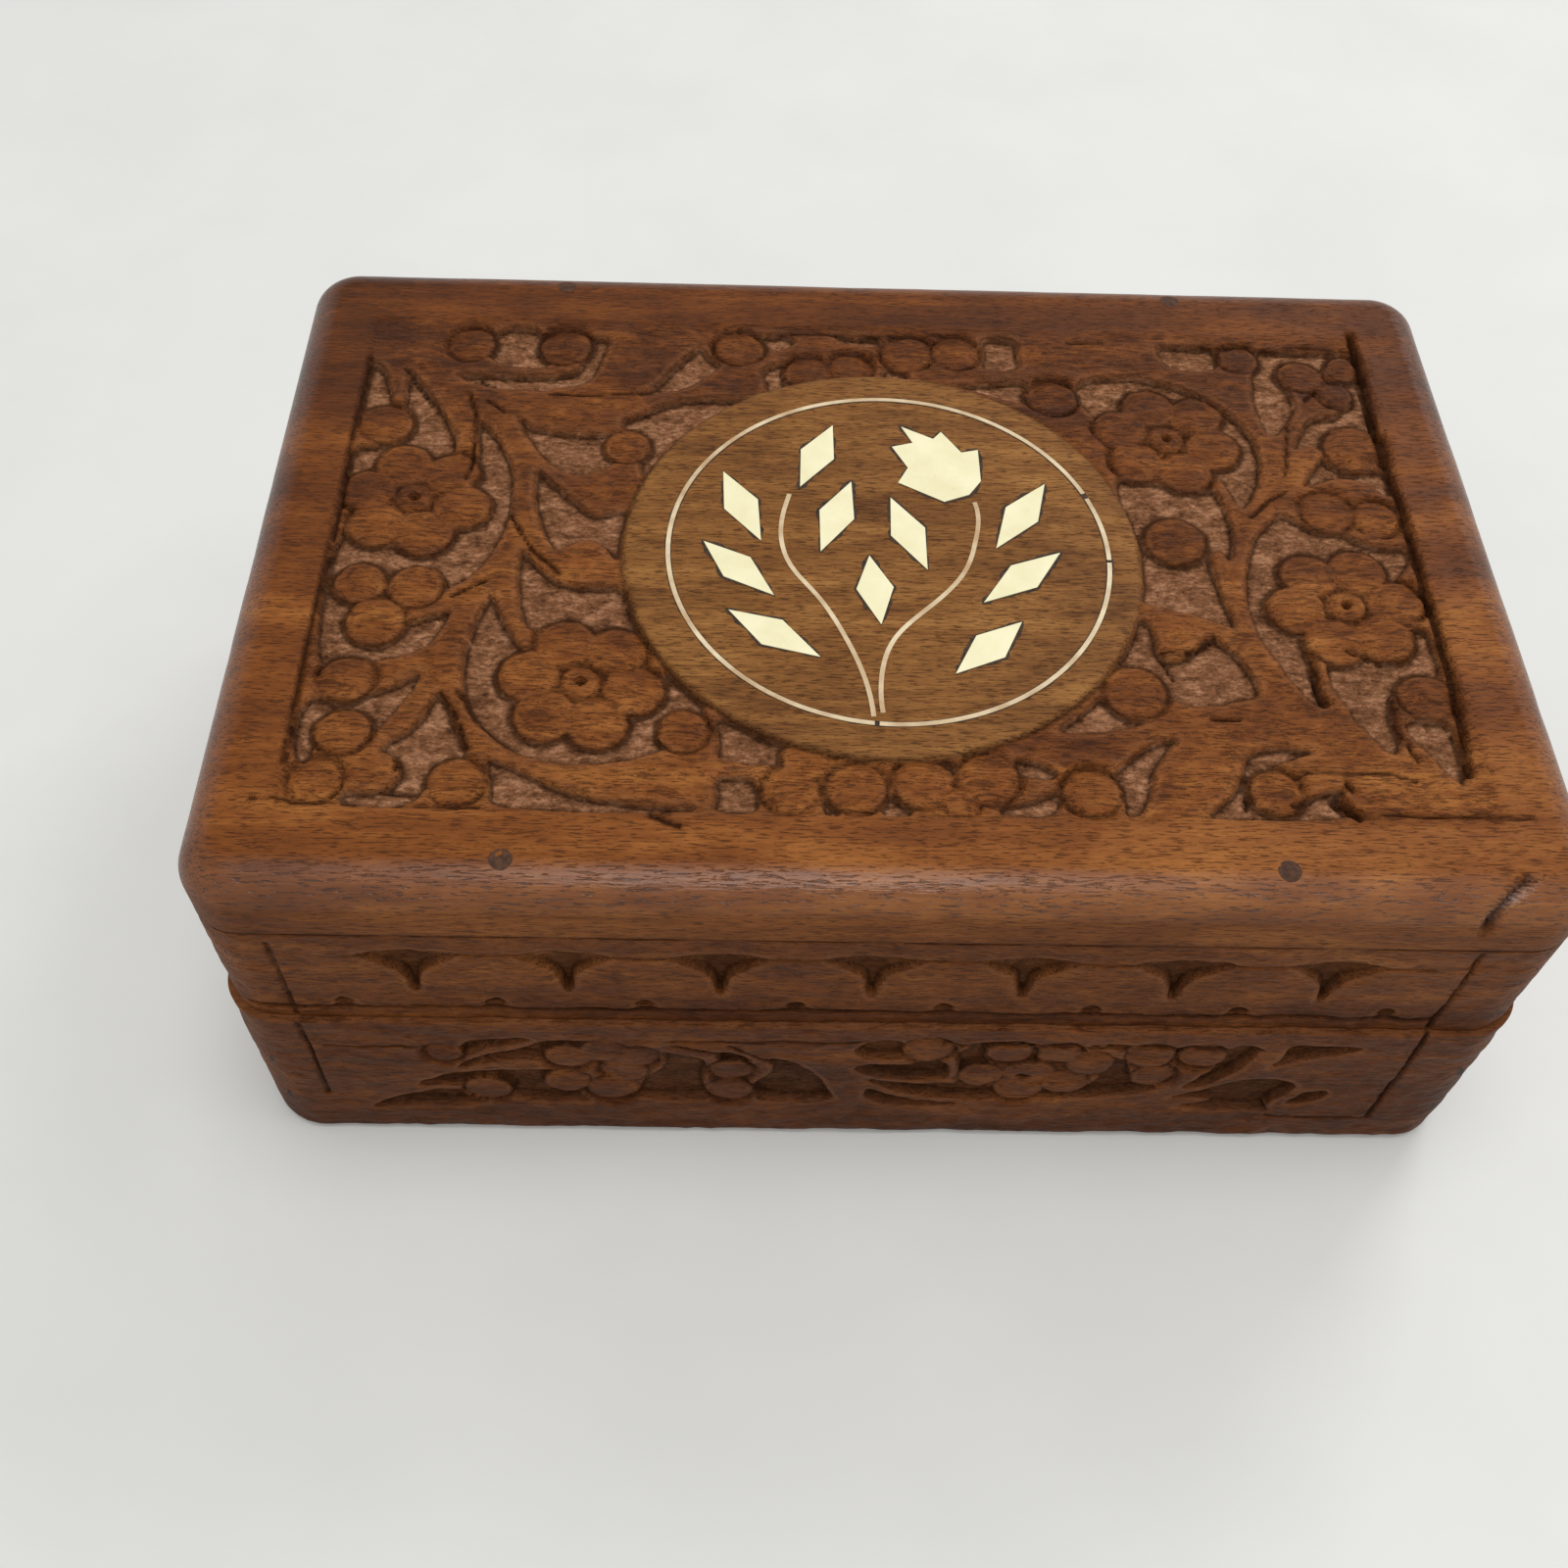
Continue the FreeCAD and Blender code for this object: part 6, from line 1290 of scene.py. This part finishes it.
def inlay_outlines():
    """The outlines of the inlaid leaves and of the flower, in millimetres on the board."""
    middle = np.array((RING_SHIFT, -MEDALLION_DROP))
    outlines = []
    for shares in LEAF_SHARES:
        tip, foot = np.asarray(shares) * RING_RADIUS
        waist = tip + (foot - tip) * LEAF_WAIST_SHARE
        across = np.array((tip[1] - foot[1], foot[0] - tip[0])) / np.hypot(*(foot - tip))
        across = across * INLAY_LEAF_WIDTH / 2
        outlines.append(np.array((tip, waist + across, foot, waist - across)) + middle)
    outlines.append(np.asarray(FLOWER_SHARES) * RING_RADIUS + middle)
    return outlines


def filler_band(outline, inset, thin, wide, seed):
    """A flat band round an outline, of uneven width: from just inside it to a noise's distance outside."""
    run = np.roll(outline, -1, 0) - np.roll(outline, 1, 0)
    out = np.stack((run[:, 1], -run[:, 0]), -1) / np.maximum(np.hypot(*run.T), 1e-9)[:, None]
    turning = np.roll(outline, -1, 0)
    if (outline[:, 0] * turning[:, 1] - turning[:, 0] * outline[:, 1]).sum() < 0:
        outline, out = outline[::-1], -out[::-1]
    noise = layered_noise(outline[:, 0], outline[:, 1], FILLER_SIZE, seed)
    width = np.clip(thin + (wide - thin) * (0.35 + noise), FILLER_LEAST, wide)
    inner, outer = outline - out * inset, outline + out * width[:, None]
    top, low = (np.full((len(outline), 1), TOP_LEVEL + rise) for rise in (FILLER_PROUD, -FILLER_DEPTH))
    loops = [np.concatenate(pair, 1) for pair in ((inner, top), (outer, top), (outer, low), (inner, low))]
    return np.stack(loops, 1)


def dark_filler():
    """The dark filler pressed in round the leaves, the flower and the ring, as thin uneven bands."""
    bands = [filler_band(even_points(outline, FILLER_STEPS), *LEAF_FILLER, FILLER_SEED + 3 * number)
             for number, outline in enumerate(inlay_outlines())]
    angle = np.arange(RING_STEPS) * 2 * math.pi / RING_STEPS
    ring = np.stack((np.cos(angle), np.sin(angle)), -1)
    middle = np.array((RING_SHIFT, -MEDALLION_DROP))
    ring = ring * (RING_RADIUS + INLAY_WIDTH / 2) + middle
    bands.append(filler_band(ring, *RING_FILLER, RING_FILLER_SEED))
    points, faces = [], []
    for band in bands:
        count = len(band)
        start = sum(len(part) for part in points)
        wrapped = grid_faces(count + 1, 4, True) % (4 * count)
        faces += (start + wrapped).tolist()
        points.append(band.reshape(-1, 3))
    return make_piece("inlay_filler", np.concatenate(points), faces, {}, "lid", None)


# Finishes

class Finish:
    """A material and the few calls that its node tree is made with."""

    def __init__(self, name, roughness, specular=0.5):
        self.material = bpy.data.materials.new(name)
        self.material.use_nodes = True
        self.tree = self.material.node_tree
        self.shader = self.tree.nodes["Principled BSDF"]
        self.shader.inputs["Roughness"].default_value = roughness
        self.shader.inputs["Specular IOR Level"].default_value = specular
        self.place = self.tree.nodes.new("ShaderNodeTexCoord").outputs["Object"]

    def node(self, kind, **values):
        """A new node with its settings."""
        made = self.tree.nodes.new(kind)
        for key, amount in values.items():
            setattr(made, key, amount)
        return made

    def wire(self, source, target):
        """Join an output to an input."""
        self.tree.links.new(source, target)

    def mark(self, name):
        """The amount of a mark on the piece."""
        return self.node("ShaderNodeAttribute", attribute_name=name).outputs["Fac"]

    def noise(self, size, detail=4.0, roughness=0.55, distortion=0.0):
        """Noise whose grains have the given size in millimetres along X, Y and Z."""
        mapping = self.node("ShaderNodeMapping")
        mapping.inputs["Scale"].default_value = [1 / (length * MM) for length in size]
        self.wire(self.place, mapping.inputs["Vector"])
        texture = self.node("ShaderNodeTexNoise")
        texture.inputs["Scale"].default_value = 1.0
        texture.inputs["Detail"].default_value = detail
        texture.inputs["Roughness"].default_value = roughness
        texture.inputs["Distortion"].default_value = distortion
        self.wire(mapping.outputs["Vector"], texture.inputs["Vector"])
        return texture.outputs["Fac"]

    def math(self, operation, first, second):
        """One operation on two amounts, each a number or an output."""
        made = self.node("ShaderNodeMath", operation=operation)
        for socket, amount in zip(made.inputs, (first, second)):
            if isinstance(amount, (int, float)):
                socket.default_value = amount
            else:
                self.wire(amount, socket)
        return made.outputs["Value"]

    def weigh(self, *parts):
        """The sum of sources, each times its weight."""
        total = None
        for source, weight in parts:
            part = self.math("MULTIPLY", source, weight)
            total = part if total is None else self.math("ADD", total, part)
        return total

    def between(self, source, low, high, start=0.0, end=1.0):
        """A source's range from low to high, stretched from start to end."""
        made = self.node("ShaderNodeMapRange")
        made.inputs["From Min"].default_value = low
        made.inputs["From Max"].default_value = high
        made.inputs["To Min"].default_value = start
        made.inputs["To Max"].default_value = end
        self.wire(source, made.inputs["Value"])
        return made.outputs["Result"]

    def ramp(self, source, stops):
        """Colours blended along a source."""
        made = self.node("ShaderNodeValToRGB")
        elements = made.color_ramp.elements
        while len(elements) < len(stops):
            elements.new(0.5)
        for element, (position, colour) in zip(elements, stops):
            element.position = position
            element.color = (*colour, 1)
        self.wire(source, made.inputs["Fac"])
        return made.outputs["Color"]

    def mix(self, share, first, second):
        """Two colours mixed by a share."""
        made = self.node("ShaderNodeMix", data_type="RGBA")
        for socket, amount in ((made.inputs[0], share), (made.inputs[6], first), (made.inputs[7], second)):
            if isinstance(amount, (int, float)):
                socket.default_value = amount
            elif isinstance(amount, tuple):
                socket.default_value = (*amount, 1)
            else:
                self.wire(amount, socket)
        return made.outputs[2]

    def bump(self, height, distance, strength=1.0, under=None):
        """A normal that a height raises by up to a distance in millimetres, over another normal if given."""
        made = self.node("ShaderNodeBump")
        made.inputs["Distance"].default_value = distance * MM
        made.inputs["Strength"].default_value = strength
        self.wire(height, made.inputs["Height"])
        if under is not None:
            self.wire(under, made.inputs["Normal"])
        return made.outputs["Normal"]


def grain_size(grain, along, across):
    """Grain size along X, Y and Z for a board whose grain runs along X or Y."""
    return (along, across, across) if grain == "x" else (across, along, across)


STAIN = (
    (0.00, (0.062, 0.018, 0.005)),
    (0.25, (0.108, 0.031, 0.007)),
    (0.55, (0.188, 0.058, 0.012)),
    (0.90, (0.315, 0.114, 0.026)),
)
GROUND = ((0.10, (0.072, 0.026, 0.011)), (0.5, (0.240, 0.102, 0.045)), (0.90, (0.500, 0.250, 0.135)))
HONEY = ((0.05, (0.080, 0.028, 0.008)), (0.5, (0.200, 0.082, 0.021)), (0.95, (0.330, 0.152, 0.042)))
# Near black brown for dirt and painted shade in the cuts, creases, grooves and holes
DIRT_AND_SHADE = (0.020, 0.007, 0.003)
PORE = (0.038, 0.012, 0.005)
WORN = (0.290, 0.115, 0.045)
RAW = ((0.10, (0.165, 0.070, 0.030)), (0.90, (0.300, 0.142, 0.068)))
BARE_SHARE = 0.6


def stained_wood(name, grain, bare=None):
    """Stained hardwood: soft bands, short dark pores along the grain, a pale rough ground, dirt and painted
    shade in the cuts.

    bare is how much of the stain is missing all over; otherwise the piece's own mark says where it is.
    """
    wood = Finish(name, 0.5, 0.25)
    cut = wood.mark("cut")
    ground = wood.mark("ground")
    band = wood.noise(grain_size(grain, 90.0, 11.0), 3.0, 0.5, 0.6)
    streak = wood.noise(grain_size(grain, 18.0, 2.0), 5.0, 0.65, 0.6)
    fibre = wood.noise(grain_size(grain, 4.0, 0.30), 4.0)
    pore = wood.noise(grain_size(grain, 1.8, 0.22), 2.0)
    check = wood.noise(grain_size(grain, 4.0, 0.9), 6.0, 0.7, 0.9)
    patch = wood.noise((13.0, 9.0, 8.0), 6.0, 0.66)
    knife = wood.noise((2.8, 1.7, 1.7), 5.0, 0.62, 0.5)
    worked = wood.mark("worked")
    facet = wood.math("MULTIPLY", wood.math("SUBTRACT", knife, 0.5), worked)
    tone = wood.weigh((band, 0.34), (streak, 0.24), (fibre, 0.16), (patch, 0.26), (wood.mark("deep"), -0.13),
                      (facet, 0.32))
    colour = wood.ramp(wood.between(tone, 0.34, 0.66), STAIN)
    fuzz = wood.noise((0.8, 0.45, 0.45), 6.0, 0.7)
    flake = wood.noise((2.6, 1.6, 1.6), 4.0, 0.6, 0.6)
    ground_tone = wood.weigh((fuzz, 0.5), (flake, 0.5))
    ground_colour = wood.ramp(wood.between(ground_tone, 0.33, 0.67), GROUND)
    honey_band = wood.noise(grain_size(grain, 26.0, 4.0), 5.0, 0.6, 1.4)
    honey_tone = wood.weigh((honey_band, 0.45), (fibre, 0.30), (patch, 0.25))
    honey_colour = wood.ramp(wood.between(honey_tone, 0.34, 0.66), HONEY)
    colour = wood.mix(wood.mark("medallion"), colour, honey_colour)
    pore_mask = wood.between(pore, 0.56, 0.66)
    check_mask = wood.between(wood.weigh((check, 1.0), (worked, 0.06)), 0.62, 0.69)
    fleck = wood.math("MAXIMUM", wood.weigh((pore_mask, 0.7)), wood.weigh((check_mask, 0.6)))
    colour = wood.mix(fleck, colour, PORE)
    colour = wood.mix(ground, colour, ground_colour)
    colour = wood.mix(wood.weigh((wood.mark("edge"), 0.3)), colour, WORN)
    raw_colour = wood.ramp(wood.between(streak, 0.34, 0.66), RAW)
    colour = wood.mix(bare or wood.weigh((wood.mark("raw"), BARE_SHARE)), colour, raw_colour)
    # Dirt and painted shade darken the colour where the cut mark is
    colour = wood.mix(wood.weigh((cut, 0.9)), colour, DIRT_AND_SHADE)
    wood.wire(colour, wood.shader.inputs["Base Color"])
    polish = wood.mark("polish")
    rough = wood.weigh((wood.between(streak, 0.3, 0.7, 0.42, 0.55), 1.0), (ground, 0.35), (polish, -0.23))
    wood.wire(rough, wood.shader.inputs["Roughness"])
    shine = wood.weigh((wood.between(cut, 0.0, 1.0, 0.08, 0.02), 1.0), (polish, 0.32))
    wood.wire(shine, wood.shader.inputs["Specular IOR Level"])
    normal = wood.bump(wood.weigh((fleck, -1.4), (fibre, 1.0)), 0.09, 0.9)
    normal = wood.bump(wood.math("MULTIPLY", knife, worked), 0.9, 0.9, normal)
    normal = wood.bump(wood.math("MULTIPLY", fuzz, ground), 0.4, 0.9, normal)
    wood.wire(normal, wood.shader.inputs["Normal"])
    return wood.material


def dark_paste(name, dark, light):
    """Dark paste or end grain: close cloudy tones, matt."""
    paste = Finish(name, 0.7, 0.2)
    cloud = paste.noise((0.6, 0.6, 0.6), 4.0, 0.65)
    colour = paste.ramp(paste.between(cloud, 0.35, 0.65), ((0.1, dark), (0.9, light)))
    paste.wire(colour, paste.shader.inputs["Base Color"])
    paste.wire(paste.bump(cloud, 0.05, 0.6), paste.shader.inputs["Normal"])
    return paste.material


def cream_inlay(name, dark, light):
    """Cream inlay: faint clouds and a few fine dark specks, satin."""
    inlay = Finish(name, 0.5, 0.25)
    cloud = inlay.noise((4.0, 4.0, 4.0), 4.0)
    speck = inlay.noise((0.30, 0.30, 0.30), 2.0)
    colour = inlay.ramp(inlay.between(cloud, 0.3, 0.7), ((0.1, dark), (0.9, light)))
    colour = inlay.mix(inlay.between(speck, 0.70, 0.80, 0.0, 0.5), colour, (0.36, 0.22, 0.10))
    inlay.wire(colour, inlay.shader.inputs["Base Color"])
    inlay.wire(inlay.bump(cloud, 0.03, 0.4), inlay.shader.inputs["Normal"])
    return inlay.material


def dull_metal(name, dark, light, metallic, roughness):
    """Tarnished metal: cloudy colour, fine scratches along X."""
    metal = Finish(name, roughness)
    metal.shader.inputs["Metallic"].default_value = metallic
    cloud = metal.noise((3.0, 3.0, 3.0), 5.0, 0.65)
    scratch = metal.noise((6.0, 0.15, 0.15), 3.0)
    colour = metal.ramp(metal.between(cloud, 0.35, 0.65), ((0.1, dark), (0.9, light)))
    metal.wire(colour, metal.shader.inputs["Base Color"])
    rough = metal.between(cloud, 0.3, 0.7, roughness - 0.1, roughness + 0.15)
    metal.wire(rough, metal.shader.inputs["Roughness"])
    metal.wire(metal.bump(scratch, 0.02, 0.4), metal.shader.inputs["Normal"])
    return metal.material


def paint(piece, material):
    """Give a piece its only material."""
    piece.data.materials.clear()
    piece.data.materials.append(material)


# Build and paint the pieces
along_wood = stained_wood("stained_wood_along", "x")
across_wood = stained_wood("stained_wood_across", "y")
bare_wood = stained_wood("bare_wood_along", "x", BARE_SHARE)
leaf_finish = cream_inlay("cream_inlay", (0.77, 0.71, 0.44), (0.84, 0.79, 0.53))
strip_finish = cream_inlay("dull_inlay", (0.46, 0.31, 0.17), (0.72, 0.60, 0.40))
brass_finish = dull_metal("dull_brass", (0.20, 0.12, 0.04), (0.50, 0.34, 0.13), 1.0, 0.42)
iron_finish = dull_metal("rusty_iron", (0.020, 0.016, 0.014), (0.075, 0.055, 0.045), 0.7, 0.6)
filler_finish = dark_paste("dark_filler", (0.018, 0.010, 0.006), (0.060, 0.034, 0.018))
peg_finish = dark_paste("peg_wood", (0.038, 0.015, 0.008), (0.085, 0.036, 0.017))

paint(carved_top(), along_wood)
paint(peg_heads(), peg_finish)
paint(dark_filler(), filler_finish)
for piece in base_boards() + lid_rails():
    paint(piece, across_wood if piece.name.endswith(("left", "right")) else along_wood)

for name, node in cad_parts.items():
    if name.startswith("inlay"):
        paint(node, strip_finish if "ring" in name or "stem" in name else leaf_finish)
    elif name.startswith("hinge"):
        paint(node, brass_finish)
    elif name.endswith("brads"):
        paint(node, iron_finish)
    elif name == "base_bottom_panel":
        paint(node, bare_wood)
    else:
        paint(node, along_wood)


# Floor, light and camera

def pale_floor():
    """A wide pale floor under the box, with the faintest unevenness of tone."""
    half = 4.0
    mesh = bpy.data.meshes.new("pale_floor")
    corners = [(-half, -half, 0), (half, -half, 0), (half, half, 0), (-half, half, 0)]
    mesh.from_pydata(corners, [], [(0, 1, 2, 3)])
    floor = bpy.data.objects.new("pale_floor", mesh)
    bpy.context.scene.collection.objects.link(floor)
    cloth = Finish("pale_floor", 0.9, 0.2)
    cloud = cloth.noise((40.0, 40.0, 40.0), 4.0)
    tones = ((0.0, (0.73, 0.735, 0.715)), (1.0, (0.76, 0.765, 0.745)))
    colour = cloth.ramp(cloth.between(cloud, 0.35, 0.65), tones)
    cloth.wire(colour, cloth.shader.inputs["Base Color"])
    paint(floor, cloth.material)


def soft_lamp(name, place, target, size, power):
    """A square soft lamp turned towards a point."""
    lamp = bpy.data.lights.new(name, "AREA")
    lamp.size = size
    lamp.energy = power
    holder = bpy.data.objects.new(name, lamp)
    holder.location = place
    holder.rotation_euler = (Vector(target) - Vector(place)).to_track_quat("-Z", "Y").to_euler()
    bpy.context.scene.collection.objects.link(holder)


def room_light(amount, seen):
    """Even light from all round, and a pale backdrop for what the camera or a reflection sees."""
    world = bpy.data.worlds.new("room_light")
    world.use_nodes = True
    nodes, links = world.node_tree.nodes, world.node_tree.links
    nodes.clear()
    light = nodes.new("ShaderNodeBackground")
    light.inputs["Color"].default_value = (1.0, 0.99, 0.97, 1)
    light.inputs["Strength"].default_value = amount
    backdrop = nodes.new("ShaderNodeBackground")
    backdrop.inputs["Color"].default_value = (seen, seen, seen, 1)
    path = nodes.new("ShaderNodeLightPath")
    mix = nodes.new("ShaderNodeMixShader")
    output = nodes.new("ShaderNodeOutputWorld")
    looking = path.outputs["Is Camera Ray"]
    for ray in ("Is Glossy Ray", "Is Transmission Ray"):
        either = nodes.new("ShaderNodeMath")
        either.operation = "MAXIMUM"
        links.new(looking, either.inputs[0])
        links.new(path.outputs[ray], either.inputs[1])
        looking = either.outputs["Value"]
    links.new(looking, mix.inputs[0])
    links.new(light.outputs[0], mix.inputs[1])
    links.new(backdrop.outputs[0], mix.inputs[2])
    links.new(mix.outputs[0], output.inputs["Surface"])
    bpy.context.scene.world = world


# Camera fitted to the photograph: place in millimetres, turns in degrees, focal length in pixels of the image
CAMERA_PLACE = (-16.19, -138.83, 200.90)
CAMERA_YAW = 2.4695
CAMERA_PITCH = 54.438
CAMERA_ROLL = 2.934
FOCAL_PIXELS = 1688.3
IMAGE_PIXELS = 1600.0
SENSOR = 36.0


def photo_camera():
    """The camera: heading from yaw and pitch, then rolled about its own axis."""
    yaw, pitch, roll = (math.radians(angle) for angle in (CAMERA_YAW, CAMERA_PITCH, CAMERA_ROLL))
    ahead = Vector((math.sin(yaw) * math.cos(pitch), math.cos(yaw) * math.cos(pitch), -math.sin(pitch)))
    level = Vector((math.cos(yaw), -math.sin(yaw), 0))
    above = level.cross(ahead)
    right = math.cos(roll) * level + math.sin(roll) * above
    up = -math.sin(roll) * level + math.cos(roll) * above
    lens = bpy.data.cameras.new("photo_camera")
    lens.sensor_width = SENSOR
    lens.lens = FOCAL_PIXELS * SENSOR / IMAGE_PIXELS
    lens.clip_start = 0.01
    camera = bpy.data.objects.new("photo_camera", lens)
    turn = Matrix((right, up, -ahead)).transposed()
    camera.matrix_world = Matrix.Translation(Vector(CAMERA_PLACE) * MM) @ turn.to_4x4()
    bpy.context.scene.collection.objects.link(camera)
    bpy.context.scene.camera = camera


pale_floor()
BOX_MIDDLE = (0, 0, 0.03)
soft_lamp("ceiling", (0.03, -0.05, 1.15), BOX_MIDDLE, 0.45, 5.2)
soft_lamp("window", (0.50, 0.70, 0.75), BOX_MIDDLE, 0.4, 3.4)
soft_lamp("hall", (0.02, -0.52, 0.97), BOX_MIDDLE, 0.2, 2.4)
room_light(0.38, 0.86)
photo_camera()
bpy.context.scene.view_settings.view_transform = "Standard"
